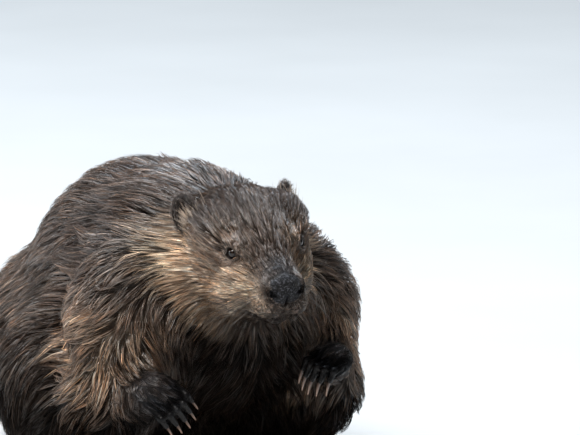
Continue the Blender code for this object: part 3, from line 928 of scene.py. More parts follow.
def refined(mesh, wanted):
    """Splits the faces between wanted points in four; the faces beside them take the extra points."""
    form = bmesh.new()
    form.from_mesh(mesh)
    form.verts.ensure_lookup_table()
    for vert, flag in zip(form.verts, wanted):
        vert.tag = bool(flag)
    edges = [edge for edge in form.edges if edge.verts[0].tag and edge.verts[1].tag]
    bmesh.ops.subdivide_edges(form, edges=edges, cuts=1, use_grid_fill=True)
    form.to_mesh(mesh)
    form.free()
    settle(mesh)


def near_face(points):
    h, m = head_halves(points)
    return (gap(m, EYE_AT) < 0.014) | (ears(h) < 0.004) | (h[:, 0] > -0.045)


def eye_gap(points):
    """How far each point is from the nearer eye's centre."""
    return np.minimum(gap(points, eye_centre(LEFT)), gap(points, eye_centre(RIGHT)))


def near_eye_or_nose(points):
    h, m = head_halves(points)
    return (gap(m, EYE_AT) < 0.0105) | (h[:, 0] > -0.020)


def near_paws(points):
    return np.minimum(forepaw_field(points, LEFT), forepaw_field(points, RIGHT)) < 0.002


SKIN_CELL = 0.0022


def build_skin(finish):
    points, quads = net(skin_field, cm(-16, -26.2, -0.5), cm(16, 60.5, 30), SKIN_CELL)
    mesh = mesh_from("skin", points, quads.tolist())
    settle(mesh)
    found = mesh_points(mesh)
    refined(mesh, near_face(found) | near_paws(found))
    refined(mesh, near_eye_or_nose(mesh_points(mesh)))
    settle(mesh)
    found = mesh_points(mesh)
    bare = spread(bareness, found)
    tint = spread(markings_and_shade, found)
    # Under the coat the skin is darkened by the roots' share: painted shade of the fur over it. Bare skin
    # keeps its colour.
    paint(mesh, "MarkingAndShade", tint * mix(2.2 * root_shade_share(tint), 1.0, bare[:, None]))
    scaly = fade(found[:, 1], 0.300, 0.318)
    bare = np.where(gap(head_halves(found)[1], EYE_AT) < 0.014, 0.0, bare)
    nose = nose_leather(in_head(found))
    paint(mesh, "Zones", np.column_stack([1 - bare, bare * (1 - scaly), scaly, nose]))
    obj = show("skin", mesh, finish)
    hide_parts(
        "nose", "jaw", "head", "neck", "trunk", "tail_root", "tail_paddle", "ear_left", "ear_right",
        "foreleg_left", "foreleg_right", "forepaw_left", "forepaw_right",
        "hindleg_left", "hindleg_right", "hindfoot_left", "hindfoot_right",
    )
    return mesh


# ------------------------------------------------------------------ coat


def skin_triangles(mesh):
    mesh.calc_loop_triangles()
    corners = np.empty(len(mesh.loop_triangles) * 3, np.int32)
    mesh.loop_triangles.foreach_get("vertices", corners)
    return mesh_points(mesh)[corners.reshape(-1, 3)]


def scatter(triangles, density, count, seed):
    """Points strewn over the triangles, more where the density is higher."""
    draws = np.random.default_rng(seed)
    cross = np.cross(triangles[:, 1] - triangles[:, 0], triangles[:, 2] - triangles[:, 0])
    weight = np.linalg.norm(cross, axis=1) * density
    heap = np.cumsum(weight)
    picks = (np.arange(count) + draws.uniform(size=count)) / count * heap[-1]
    chosen = np.minimum(np.searchsorted(heap, picks), len(triangles) - 1)
    a, b = draws.uniform(size=(2, count, 1))
    over = a + b > 1
    a, b = np.where(over, 1 - a, a), np.where(over, 1 - b, b)
    corner = triangles[chosen]
    points = corner[:, 0] + a * (corner[:, 1] - corner[:, 0]) + b * (corner[:, 2] - corner[:, 0])
    return points, units(cross[chosen])


def thinned(points, spacing):
    """One point from each cube of this size, so that guides stand evenly."""
    keys = np.floor(points / spacing[:, None]).astype(np.int64)
    keys = np.column_stack([keys, (spacing * 1e5).astype(np.int64)])
    return np.sort(np.unique(keys, axis=0, return_index=True)[1])


def spaced_guides(triangles, density, spacing_at, count, seed):
    points, _ = scatter(triangles, density, count, seed)
    return points[thinned(points, spacing_at(points))]


def step_spacing(fine, coarse):
    """Guide spacing: fine at the muzzle, coarse on the trunk, in a few even steps."""

    def spacing(points):
        share = fade(from_nose(points), 0.05, 0.23)
        return mix(fine, coarse, np.round(share * 4) / 4)

    return spacing


# A strand's rings of points, by how many it has; a last point makes its tip.
RING_AT = {2: np.array([0.0, 0.50, 1.0]), 3: np.array([0.0, 0.34, 0.70, 1.0])}
RING_WIDTH = {2: np.array([0.85, 1.0, 0.0]), 3: np.array([0.75, 1.0, 0.72, 0.0])}
RING_SIDES = 3


def sampled(paths, t):
    """Points on each path at its own parameters t, from 0 to 1."""
    place = np.clip(t, 0, 1) * (paths.shape[1] - 1)
    lower = np.minimum(place.astype(int), paths.shape[1] - 2)
    share = (place - lower)[:, :, None]
    rows = np.arange(len(paths))[:, None]
    return mix(paths[rows, lower], paths[rows, lower + 1], share)


def strand_faces(rings, count):
    """Corner indices of every strand's faces, the faces' sizes, and the corners of one strand."""
    tip = rings * RING_SIDES
    faces = ring_faces(rings, RING_SIDES) + fan_faces(tip - RING_SIDES, RING_SIDES, tip) + [(2, 1, 0)]
    pattern = np.concatenate(faces)
    start = np.arange(count)[:, None] * (tip + 1)
    return (pattern + start).ravel(), np.tile([len(face) for face in faces], count), pattern


def long_units(rows):
    """Vectors along the last of three axes, brought to length 1."""
    return rows / np.maximum(np.linalg.norm(rows, axis=2, keepdims=True), 1e-9)


def strand_points(centres, normals, radii, flat):
    """Points of three-sided strands: rings round all but the last centre, which is the tip."""
    along = long_units(np.gradient(centres, axis=1))
    across = long_units(np.cross(along, normals))
    out = np.cross(across, along)
    rings = []
    for side in range(RING_SIDES):
        turn = pi / 2 + 2 * pi * side / RING_SIDES
        rings.append(centres + radii[:, :, None] * (cos(turn) * across + flat * sin(turn) * out))
    ringed = np.stack(rings, axis=2)[:, :-1].reshape(len(centres), -1, 3)
    return np.concatenate([ringed, centres[:, -1:]], axis=1)


UV_PATCH = 0.003  # side of the small square of the map that a strand has to itself
STRAND_FLATNESS = 0.7
ROOT_DEPTH = 0.0004  # how far a strand starts beneath the skin
STRAND_CLEARANCE = 0.0009  # of a strand's middle line over the floor
STRAND_STAND_OFF, GUIDE_STAND_OFF = 0.012, 0.02  # height over the skin where the nearest guide is sought


def unwrap(roots, centre, axes):
    """Place of each root on the skin rolled out round an axis: turn about it, and distance along it."""
    local = (roots - centre) @ axes
    turn = np.arctan2(local[:, 1], local[:, 2]) / (2 * pi) + 0.5
    along = local[:, 0]
    along = (along - along.min()) / max(np.ptp(along), 1e-6)
    return np.column_stack([turn, along]) * (1 - 2 * UV_PATCH) + UV_PATCH / 2


def build_coat_piece(name, strands, finish, axes):
    """One mesh of strands, coloured from root to tip with painted shade at the roots, each with its own
    small patch of the UV map.
    """
    roots, centres, root_tint = strands["roots"], strands["centres"], strands["root_tint"]
    count, rings = len(roots), centres.shape[1] - 1
    points = strand_points(centres, strands["normals"], strands["radii"], STRAND_FLATNESS)
    per_strand = points.shape[1]
    corners, sizes, pattern = strand_faces(rings, count)
    mesh = bpy.data.meshes.new(name)
    mesh.vertices.add(count * per_strand)
    set_mesh_points(mesh, points)
    mesh.loops.add(len(corners))
    mesh.loops.foreach_set("vertex_index", corners.astype(np.int32))
    mesh.polygons.add(len(sizes))
    mesh.polygons.foreach_set("loop_start", (np.cumsum(sizes) - sizes).astype(np.int32))
    mesh.update(calc_edges=True)
    ring_of = np.minimum(np.arange(per_strand) // RING_SIDES, rings)
    side_of = np.where(ring_of < rings, np.arange(per_strand) % RING_SIDES, 0.5)
    along = RING_AT[rings][ring_of]
    tip = along[None, :, None]
    tint = root_tint[:, None, :] * (1 - tip) + strands["tip_tint"][:, None, :] * tip
    # Painted shade: each strand darker towards its root, as the coat around it would shade it.
    shade = mix(root_shade_share(root_tint)[:, :, None], 1.0, fade(tip, 0.0, 0.55))
    paint(mesh, "Coat", (tint * shade).reshape(-1, 3))
    facts = np.stack(np.broadcast_arrays(along, side_of / RING_SIDES, strands["chance"][:, None]), -1)
    paint(mesh, "Strand", facts.reshape(-1, 3))
    spot = np.column_stack([(side_of + 0.25 * along) / (RING_SIDES + 0.25), along])[pattern]
    spot[::RING_SIDES, 0] += 0.02
    middle = unwrap(roots, roots.mean(axis=0), axes)
    patches = middle[:, None, :] + (spot[None] - 0.5) * UV_PATCH
    mesh.uv_layers.new(name="OFBake").uv.foreach_set("vector", patches.astype(np.float32).ravel())
    obj = show(name, mesh, finish)


HEAD_END = -0.145  # head frame: where the head's coat meets the neck's
# The regions that are made in a left and a right half.
HALVED = ["coat_flank", "coat_shoulder", "coat_cheek", "coat_rump", "coat_back"]


def in_head_coat(points):
    return (in_head(points)[:, 0] > HEAD_END) & (spread(head_field, points) < 0.004)


def region_of(roots):
    """Name of the coat piece that each root belongs to; where the places overlap, the last one holds."""
    ahead, _, above = in_head(roots).T
    x, y, z = roots.T
    on_head = in_head_coat(roots)
    names = np.full(len(roots), "coat_back", dtype=object)
    for name, here in (
        ("coat_flank", (y < 0.13) & (z < 0.17)),
        ("coat_rump", y >= 0.13),
        ("coat_shoulder", (y < -0.06) & (z < 0.19)),
        ("coat_chest", (np.abs(x) < 0.055) & (y < 0.0) & (z < 0.185)),
        ("coat_neck", (ahead > -0.20) & (neck_field(roots) < 0.004)),
        ("coat_cheek", on_head),
        ("coat_crown", on_head & (above > 0.022)),
        ("coat_muzzle", on_head & (ahead > -0.060)),
    ):
        names[here] = name
    for side, word in SIDE_NAMES.items():
        here = np.isin(names, HALVED) & ((x > 0) == (side == LEFT))
        names[here] = names[here] + f"_{word}"
    return names


def standing_off(guides, height):
    """Places at this height over the guides' roots."""
    return guides["roots"] + guides["normals"][:, 0] * height


def grow_strands(roots, root_normals, guides, seed, rings):
    """Strands that leave their own roots and gather towards their guide."""
    draws = np.random.default_rng(seed)
    who = nearest(roots + root_normals * STRAND_STAND_OFF, standing_off(guides, STRAND_STAND_OFF))
    guide = subset(guides, who)
    count = len(roots)
    chance = draws.uniform(size=count)
    reach = draws.uniform(0.72, 1.0, count)  # share of the guide's length that the strand covers
    t = RING_AT[rings][None, :] * reach[:, None]
    normals = sampled(guide["normals"], t)
    on_head = head_share(roots)
    loose = draws.uniform(size=count) < mix(0.12, 0.40, on_head)
    hold = np.where(loose, LOOSE_HOLD, LOCK_HOLD)[:, None]
    offset = (roots - guide["roots"])[:, None, :]
    centres = sampled(guide["paths"], t) + offset * (1 - hold * t**1.3)[:, :, None]

    # Each strand bows off its guide and strays a little at its tip.
    lift = draws.normal(0, 1, count)[:, None] * np.sin(np.clip(t, 0, 1) * pi * 0.6)
    centres = centres + normals * (lift * guide["lift"][:, None])[:, :, None]
    sway = draws.normal(0, 1, (count, 3))[:, None, :] * (t**2)[:, :, None] * guide["lift"][:, None, None]
    centres = centres + sway * 0.6
    centres[:, 0] = roots - root_normals * ROOT_DEPTH
    centres[:, :, 2] = np.maximum(centres[:, :, 2], STRAND_CLEARANCE)
    radii = strand_radius(roots)[:, None] * RING_WIDTH[rings][None, :]
    radii = radii * draws.uniform(0.65, 1.35, count)[:, None]

    # Whole locks are lighter or darker, as single strands are. Strands near a lock's middle are lighter, a
    # painted sheen, and those between locks darker, painted shade.
    tint = spread(markings_and_shade, roots)
    lock = guide["shade"] * (0.86 + 0.28 * draws.uniform(size=count))
    drift = gap(roots, guide["roots"]) / guide["spacing"]
    tint = tint * (lock * mix(1.15, mix(0.60, 0.85, on_head), fade(drift, 0.25, 0.75)))[:, None]
    single = np.exp(draws.normal(0, 0.38, count))
    red = draws.normal(0, 0.10, count)
    tint = tint * single[:, None] * np.column_stack([1 + red, np.ones(count), 1 - red])
    warm = np.array([1.20, 1.06, 0.94]) * (0.9 + 0.5 * chance[:, None])
    return {
        "roots": roots, "centres": centres, "normals": normals, "radii": radii,
        "root_tint": tint, "tip_tint": tint * warm, "chance": chance,
    }


def make_guides(triangles, density, spacing_at, count, seed):
    roots = spaced_guides(triangles, density, spacing_at, count, seed)
    draws = np.random.default_rng(seed + 1)
    on_head = head_share(roots)
    levels = draws.uniform(mix(0.45, 0.30, on_head), mix(1.0, 0.85, on_head))
    lengths = spread(coat_length, roots) * draws.uniform(0.8, 1.2, len(roots))
    paths, normals = march(roots, lengths, levels)
    shade = mix(draws.uniform(0.45, 1.55, len(roots)), 1.0, 0.35 * on_head)
    return {
        "roots": roots, "paths": paths, "normals": normals, "spacing": spacing_at(roots),
        "lift": 0.018 * lengths, "shade": shade,
    }


EAR_HAIRS, EAR_TUFT_LOCKS = 2600, 600


def ear_hairs(triangles):
    """Short dark hair that lies up the ears."""
    on_ears = ears(in_head(triangles.mean(axis=1))) < 0.0004
    roots, normals = scatter(triangles, on_ears * 1.0, EAR_HAIRS, 80)
    draws = np.random.default_rng(81)
    up = (EAR_AXES[:, 0] * own_side(in_head(roots))) @ HEAD_AXES.T
    way = laid(up, normals, draws.normal(0, 0.35, EAR_HAIRS))
    length = draws.uniform(0.0030, 0.0070, EAR_HAIRS)
    tint = mix(EAR_DARK, GREY_BROWN * 1.6, 0.80)
    return hair_set(roots, normals, way, length, 0.35, 0.00014, tint, draws)


def ear_tufts(triangles):
    """Tan locks that rise from the skin before the ear and half cover its opening."""
    h, m = head_halves(triangles.mean(axis=1))
    foot = cm(1.3, -0.2, 0.4)
    density = sum(patch(m, EAR_AT[side] + foot, 0.009) * (h[:, 1] * side > 0) for side in (LEFT, RIGHT))
    roots, normals = scatter(triangles, density * (ears(h) > 0.001), EAR_TUFT_LOCKS, 82)
    draws = np.random.default_rng(83)
    back_up = (np.array([-0.85, 0.12, 0.36]) * own_side(in_head(roots))) @ HEAD_AXES.T
    way = units(back_up + draws.normal(0, 0.14, (EAR_TUFT_LOCKS, 3)))
    length = draws.uniform(0.012, 0.022, EAR_TUFT_LOCKS)
    return hair_set(roots, normals, way, length, 0.12, 0.00022, mix(TAN, BROWN, 0.35), draws)


def hair_set(roots, normals, way, length, lift, radius, tint, draws):
    """Strands that leave the skin along their own ways, curving over towards the skin."""
    rings, count = 3, len(roots)
    t = RING_AT[rings][None, :, None]
    centres = roots[:, None, :] + (way * length[:, None])[:, None, :] * t
    centres = centres + (normals * (lift * length)[:, None])[:, None, :] * np.sin(t * pi * 0.7)
    centres[:, 0] = roots - normals * ROOT_DEPTH
    chance = draws.uniform(size=count)
    radii = radius * draws.uniform(0.7, 1.3, (count, 1)) * RING_WIDTH[rings][None, :]
    tint = tint * draws.uniform(0.7, 1.25, (count, 1))
    return {
        "roots": roots, "centres": centres, "normals": np.repeat(normals[:, None], rings + 1, 1),
        "radii": radii, "root_tint": tint, "tip_tint": tint * 1.1, "chance": chance,
    }


def subset(strands, keep):
    return {key: values[keep] for key, values in strands.items()}


def strand_radius(points):
    nose_gap = from_nose(points)
    radius = 0.00013 + 0.00008 * fade(nose_gap, 0.01, 0.07) + 0.00014 * fade(nose_gap, 0.09, 0.20)
    for side in (LEFT, RIGHT):
        radius = mix(radius, 0.00020, near_wrist(points, side, 0.055))
    return mix(radius, 0.00028, fade(points[:, 1], 0.24, 0.30))


HEAD_STRANDS, BODY_STRANDS = 50000, 56000
LEADERS, GUIDES = 9000, 130000  # tried places; those that stand too near each other are dropped
PIECE_LIMIT = 190000  # triangles of a piece of the coat
LOCK_HOLD, LOOSE_HOLD = 0.93, 0.35  # how far a strand is drawn in to its guide at the tip
LIDS_CLEAR = 0.0066  # no hair comes nearer than this to an eye's centre


def densities(middles):
    """How thick the fur stands at each place of the skin: all of it, the head's share, the body's share."""
    h = in_head(middles)
    furry = (1 - spread(bareness, middles)) * (middles[:, 2] > 0.004)
    furry = furry * (ears(h) > 0.0012)
    on_head = in_head_coat(middles)
    to_nose = 1 + 0.7 * fade(h[:, 0], -0.09, -0.03) + 0.9 * fade(h[:, 0], -0.045, -0.015)
    round_eyes = 1 + 2.0 * (1 - fade(eye_gap(middles), 0.008, 0.014))
    under = 1 - 0.6 * fade(-middles[:, 2], -0.05, -0.01)
    wrists = sum(near_wrist(middles, side, 0.050) for side in (LEFT, RIGHT))
    return furry, furry * on_head * to_nose * round_eyes, furry * ~on_head * under * (1 + 2.5 * wrists)


def all_guides(triangles, furry):
    """The paths of the locks, gathered in bundles of wet fur."""
    leaders = make_guides(triangles, furry, step_spacing(0.006, 0.015), LEADERS, 20)
    guides = make_guides(triangles, furry, step_spacing(0.0022, 0.0052), GUIDES, 30)
    who = nearest(standing_off(guides, GUIDE_STAND_OFF), standing_off(leaders, GUIDE_STAND_OFF))
    pull = mix(0.80, 0.50, head_share(guides["roots"]))
    guides["paths"] = gathered(guides, subset(leaders, who), pull)
    guides["shade"] = guides["shade"] * mix(1.0, leaders["shade"][who], 0.5)
    return guides


def piece_names(label, roots, per_strand):
    """Name and rows of each piece: a region of the coat, cut from front to back where it is large."""
    names = region_of(roots)
    for name in sorted(set(names)):
        rows = np.flatnonzero(names == name)
        parts = -(-len(rows) * per_strand // PIECE_LIMIT)
        order = rows[np.argsort(roots[rows, 1], kind="stable")]
        for part, keep in enumerate(np.array_split(order, parts)):
            piece = name if parts == 1 else f"{name}_{part + 1}"
            if label == "body" and bpy.data.objects.get(piece):
                piece = f"{piece}_body"
            yield piece, keep


def build_coat(skin_mesh, finish):
    triangles = skin_triangles(skin_mesh)
    furry, head_density, body_density = densities(triangles.mean(axis=1))
    guides = all_guides(triangles, furry)
    build_coat_piece("coat_ears", ear_hairs(triangles), finish, HEAD_AXES)
    build_coat_piece("coat_ear_tufts", ear_tufts(triangles), finish, HEAD_AXES)
    for label, density, count, rings, seed, axes in (
        ("head", head_density, HEAD_STRANDS, 2, 50, HEAD_AXES),
        ("body", body_density, BODY_STRANDS, 3, 60, np.eye(3)[:, [1, 0, 2]]),
    ):
        roots, root_normals = scatter(triangles, density, count, seed)
        strands = grow_strands(roots, root_normals, guides, seed + 1, rings)
        gaps = eye_gap(strands["centres"].reshape(-1, 3)).reshape(count, -1)
        strands = subset(strands, gaps.min(axis=1) > LIDS_CLEAR)
        per_strand = (rings - 1) * RING_SIDES * 2 + RING_SIDES + 1
        for name, keep in piece_names(label, strands["roots"], per_strand):
            build_coat_piece(name, subset(strands, keep), finish, axes)


# ------------------------------------------------------------------ eyes, claws, whiskers and scales


EYE_BULGE, EYE_BULGE_REACH = 0.045, 0.62  # height of the cornea as a share of the eye, and its half angle
EYE_SHARE = 0.985  # of the socket's radius


def build_eye(side, finish):
    """A ball with a bulging cornea, painted by how far round from its look each point is."""
    word = SIDE_NAMES[side]
    look = unit(mirrored(EYE_LOOK, side) @ HEAD_AXES.T)
    axes = axes_along(look, [0, 0, 1])
    rows, around = 30, 48
    points, polar = [], []
    for row in range(rows + 1):
        tilt = pi * row / rows
        bulge = 1 + EYE_BULGE * float(np.exp(-((tilt / EYE_BULGE_REACH) ** 4)))
        for turn in turns(around if 0 < row < rows else 1):
            local = np.array([cos(tilt), sin(tilt) * cos(turn), sin(tilt) * sin(turn)])
            points.append(eye_centre(side) + axes @ local * EYE_RADIUS * bulge * EYE_SHARE)
            polar.append(tilt / pi)
    last = len(points) - 1
    faces = fan_faces(1, around, 0)
    faces += [(a, d, c, b) for a, b, c, d in ring_faces(rows - 1, around, 1)]
    faces += [face[::-1] for face in fan_faces(last - around, around, last)]
    mesh = mesh_from(f"eyeball_{word}", points, faces)
    paint(mesh, "Polar", polar)
    obj = show(f"eyeball_{word}", mesh, finish)
    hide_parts(f"eye_{word}")


def claw_mesh(tip, way, down, shape):
    """A curved tapering claw with a narrow groove beneath, from inside the digit to its point."""
    rings, around, buried = 16, 14, 0.004
    side = np.cross(down, way)
    points, along = [], []
    for t in np.arange(rings) / (rings - 1):
        run = -buried + (buried + shape["length"]) * t
        ahead = max(run, 0) / shape["length"]
        middle = tip + way * run + down * shape["droop"] * ahead**2
        radius = mix(shape["root"], shape["tip"], t) * (1 + 0.10 * sin(pi * t))
        for turn in turns(around):
            groove = 1 - 0.28 * np.exp(-(((turn - pi / 2) / 0.6) ** 2))
            points.append(middle + radius * (cos(turn) * side * 0.8 + sin(turn) * down * groove))
            along.append(ahead)
    mesh = mesh_from("horn", points, tube_faces(rings, around))
    paint(mesh, "Along", along)
    return mesh


def build_claws(finish):
    for side, word in SIDE_NAMES.items():
        mirror = np.array([side, 1, 1])
        palm = -HAND_AXES[side][:, 2]
        for n in range(DIGITS):
            _, bend, tip = finger(side, n)
            way = unit(tip - bend)
            down = unit(palm - way * (palm @ way))
            obj = show(f"horn_fore_{word}_{n + 1}", claw_mesh(tip, way, down, CLAW_FORE), finish)
            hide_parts(f"claw_fore_{word}_{n + 1}")
        for n in range(DIGITS):
            _, bend, tip = toe(n)
            way = unit((tip - bend) * mirror * np.array([1, 1, 0]))
            mesh = claw_mesh(tip * mirror, way, np.array([0.0, 0.0, -1.0]), CLAW_HIND)
            obj = show(f"horn_hind_{word}_{n + 1}", mesh, finish)
            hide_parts(f"claw_hind_{word}_{n + 1}")


def tube_points(path, radii, sides):
    """Points of a round tube along a path."""
    points = []
    for middle, way, radius in zip(path, np.gradient(path, axis=0), radii):
        _, across, up = axes_along(way, [0.2, 0.1, 1.0]).T
        points += [middle + radius * (cos(turn) * across + sin(turn) * up) for turn in turns(sides)]
    return points


def build_whiskers(finish):
    """Rows of stiff hairs on the sides of the upper lip."""
    steps = np.linspace(0, 1, 9)
    t, sides, buried = steps[:, None], 6, 0.006
    draws = np.random.default_rng(77)
    points, faces = [], []
    for side, row, place in product((LEFT, RIGHT), range(4), range(5)):
        at = cm(-1.5 - 0.55 * place, 2.3 + 0.12 * place, -0.5 - 0.42 * row)
        at = at + draws.normal(0, 0.0008, 3)
        out = np.array([-0.25 - 0.16 * place, 0.9, -0.15 - 0.16 * row])
        out = unit(out + draws.normal(0, 0.10, 3))
        length = draws.uniform(0.026, 0.048)
        path = at - out * buried + out * (length + buried) * t
        path = path + np.array([-0.25, 0, -0.42]) * length * t**2
        faces += tube_faces(len(steps), sides, len(points))
        points += tube_points(from_head(mirrored(path, side)), mix(0.00026, 0.00006, steps), sides)
    obj = show("whiskers", mesh_from("whiskers", points, faces), finish)


def paddle_height(x, y):
    """Half thickness of the paddle at a place in its own plan, or 0 outside it."""
    plan = (abs(x / PADDLE_HALF[0]) ** 2.5 + abs(y / PADDLE_HALF[1]) ** 2.5) ** 0.4
    return PADDLE_HALF[2] * max(0.0, 1 - plan * plan) ** 0.5


SCALE_PITCH = 0.0052, 0.0036  # across and along the tail
SCALE_ROWS = int(2 * PADDLE_HALF[1] / SCALE_PITCH[1])
SCALE_RINGS = (-0.0006, 1.08), (0.00035, 0.93), (0.00062, 0.55)  # height and reach of each ring of points
SCALE_TOP = 0.00068


def build_scales(finish):
    """Overlapping scales in staggered rows across the top of the tail paddle."""
    pitch_x, pitch_y = SCALE_PITCH
    sides, step = 8, 0.0008
    draws = np.random.default_rng(91)
    points, faces = [], []
    for row, col in product(range(SCALE_ROWS), range(-13, 14)):
        x = (col + 0.5 * (row % 2)) * pitch_x
        y = -PADDLE_HALF[1] + (row + 0.5) * pitch_y
        height = paddle_height(x, y)
        if height < 0.0032:
            continue
        slope_x = (paddle_height(x + step, y) - paddle_height(x - step, y)) / (2 * step)
        slope_y = (paddle_height(x, y + step) - paddle_height(x, y - step)) / (2 * step)
        normal = unit([-slope_x, -slope_y, 1.0])
        long = unit(np.cross(normal, [1, draws.normal(0, 0.10), 0]))
        wide = np.cross(long, normal)
        middle = np.array([x, y, height]) + draws.normal(0, 0.0002, 3) * np.array([1, 1, 0])
        start = len(points)
        scale = draws.uniform(0.92, 1.08)
        for level, reach in SCALE_RINGS:
            for turn in turns(sides):
                away = cos(turn) * wide * pitch_x * 0.52 + sin(turn) * long * pitch_y * 0.62
                lift = level + 0.00025 * sin(turn) * (level > 0)
                points.append(middle + reach * scale * away + normal * lift)
        points.append(middle + normal * SCALE_TOP)
        faces += ring_faces(len(SCALE_RINGS), sides, start)
        faces += fan_faces(len(points) - 1 - sides, sides, len(points) - 1)
        faces.append(tuple(range(start, start + sides))[::-1])
    world = np.array(points) @ turned(yaw=PADDLE_YAW).T + PADDLE_AT
    obj = show("tail_scales", mesh_from("tail_scales", world, faces), finish)


# ------------------------------------------------------------------ materials


class Nodes:
    """A material's nodes, made and linked by short calls."""

    def __init__(self, name):
        self.made = bpy.data.materials.new(name)
        self.made.use_nodes = True
        self.tree = self.made.node_tree

    def put(self, socket, value):
        """Sets an input to a value, or links it to another node's output."""
        if isinstance(value, bpy.types.NodeSocket):
            self.tree.links.new(value, socket)
        else:
            socket.default_value = value

    def add(self, kind, *sources, **settings):
        """A node with its first inputs put to the sources, and its properties and named inputs set."""
        node = self.tree.nodes.new(f"ShaderNode{kind}")
        for key, value in settings.items():
            if hasattr(node, key):
                setattr(node, key, value)
            else:
                self.put(node.inputs[key.replace("_", " ").title()], value)
        for socket, value in zip(node.inputs, sources):
            self.put(socket, value)
        return node

    def surface(self, **values):
        """Puts values or links to inputs of the surface, and gives back the material."""
        for key, value in values.items():
            key = key.replace("_", " ").title().replace("Ior", "IOR")
            self.put(self.tree.nodes["Principled BSDF"].inputs[key], value)
        return self.made

    def painted(self, name):
        return self.add("Attribute", attribute_name=name).outputs

    def channels(self, name):
        """Red, green, blue and alpha of an attribute."""
        painted = self.painted(name)
        return *self.add("SeparateColor", painted["Color"]).outputs, painted["Alpha"]

    def noise(self, scale, detail, place=None):
        place = place or self.add("TexCoord").outputs["Object"]
        return self.add("TexNoise", place, scale=scale, detail=detail).outputs["Fac"]

    def cells(self, scale, **settings):
        place = self.add("TexCoord").outputs["Object"]
        return self.add("TexVoronoi", place, scale=scale, **settings).outputs["Distance"]

    def sum(self, *values):
        """The first value and the rest added to it in turn."""
        total, *rest = values
        for value in rest:
            total = self.add("Math", total, value, operation="ADD").outputs[0]
        return total

    def times(self, a, b):
        return self.add("Math", a, b, operation="MULTIPLY").outputs[0]

    def minus(self, a, b):
        return self.add("Math", a, b, operation="SUBTRACT").outputs[0]

    def ranged(self, value, low, high, out_low, out_high):
        return self.add("MapRange", value, low, high, out_low, out_high).outputs["Result"]

    def tinted(self, name, factor):
        """A painted colour times a factor."""
        node = self.add("VectorMath", self.painted(name)["Color"], operation="SCALE", scale=factor)
        return node.outputs[0]

    def ramp(self, value, stops):
        node = self.add("ValToRGB", value)
        elements = node.color_ramp.elements
        while len(elements) < len(stops):
            elements.new(0.5)
        for element, (place, colour) in zip(elements, stops):
            element.position = place
            element.color = (*colour, 1)
        return node.outputs["Color"]

    def bump(self, height, strength, distance):
        node = self.add("Bump", strength=strength, distance=distance)
        self.put(node.inputs["Height"], height)
        return node.outputs["Normal"]


STREAK_STRETCH = (1.5, 9.0, 60.0)  # along a strand, round it and from one strand to the next


def coat_material():
    n = Nodes("coat")
    along = n.add("VectorMath", n.painted("Strand")["Vector"], STREAK_STRETCH, operation="MULTIPLY")
    streaks = n.noise(2.0, 3.0, along.outputs[0])
    fine = n.ranged(n.noise(260.0, 3.0), 0.3, 0.7, -0.12, 0.12)
    factor = n.sum(n.ranged(streaks, 0.3, 0.7, 0.72, 1.22), fine)
    wet = n.ranged(n.noise(34.0, 3.0), 0.35, 0.65, -0.06, 0.14)
    tone = n.add("RGBToBW", n.painted("Coat")["Color"]).outputs["Val"]
    return n.surface(
        base_color=n.tinted("Coat", factor),
        roughness=n.sum(n.ranged(streaks, 0.3, 0.7, 0.20, 0.34), wet),
        specular_ior_level=n.ranged(tone, 0.010, 0.070, 0.05, 1.0),
    )


def skin_material():
    n = Nodes("skin")
    furry, leather, scaly, nose = n.channels("Zones")
    under = n.noise(420.0, 5.0)
    crease = n.ranged(n.cells(700.0, feature="DISTANCE_TO_EDGE"), 0.0, 0.25, 0.0, 1.0)
    grain = n.sum(n.times(crease, 0.7), n.times(n.cells(1500.0), 0.3))
    grain = n.times(grain, n.ranged(nose, 0.0, 1.0, 0.30, 1.0))
    height = n.sum(n.times(furry, under), n.times(leather, grain), n.times(scaly, crease))
    # Painted light on the leather: lighter pebbles and darker creases stand for wet highlights and the
    # shade between them; on the nose, bright painted glints besides.
    pebble_glint_and_crease_shade = n.times(leather, n.ranged(crease, 0.0, 1.0, 0.60, 1.15))
    shade = n.times(n.ranged(under, 0.3, 0.7, 0.70, 1.20), n.sum(n.minus(1.0, leather), pebble_glint_and_crease_shade))
    nose_glints = n.ranged(n.noise(600.0, 2.0), 0.52, 0.68, 0.0, 12.0)
    dull = n.sum(n.times(furry, 0.30), n.ranged(under, 0.3, 0.7, 0.16, 0.28), n.times(nose, 0.12))
    return n.surface(
        base_color=n.tinted("MarkingAndShade", n.sum(shade, n.times(nose, nose_glints))),
        roughness=dull,
        specular_ior_level=n.minus(n.ranged(leather, 0.0, 1.0, 0.12, 0.26), n.times(nose, 0.08)),
        normal=n.bump(height, 0.9, 0.0006),
    )


def eye_material():
    n = Nodes("wet eye")
    rays = n.times(n.minus(n.noise(900.0, 3.0), 0.5), 0.02)
    stops = [
        (0.0, (0.002, 0.002, 0.002)),
        (0.105, (0.002, 0.002, 0.002)),
        (0.125, (0.014, 0.007, 0.004)),
        (0.235, (0.009, 0.004, 0.002)),
        (0.265, (0.003, 0.002, 0.002)),
        (0.33, (0.012, 0.009, 0.008)),
    ]
    colour = n.ramp(n.sum(n.channels("Polar")[0], rays), stops)
    return n.surface(
        base_color=colour, roughness=0.08, coat_weight=0.4, coat_roughness=0.02, specular_ior_level=0.30
    )


def horn_material():
    n = Nodes("claw horn")
    streaks = n.noise(700.0, 4.0)
    place = n.sum(n.channels("Along")[0], n.times(n.minus(streaks, 0.5), 0.3))
    stops = [(0.0, (0.030, 0.022, 0.020)), (0.35, (0.150, 0.085, 0.060)), (0.8, (0.420, 0.270, 0.200))]
    return n.surface(
        base_color=n.ramp(place, stops), roughness=0.32, coat_weight=0.25, coat_roughness=0.2,
        normal=n.bump(streaks, 0.25, 0.0003),
    )


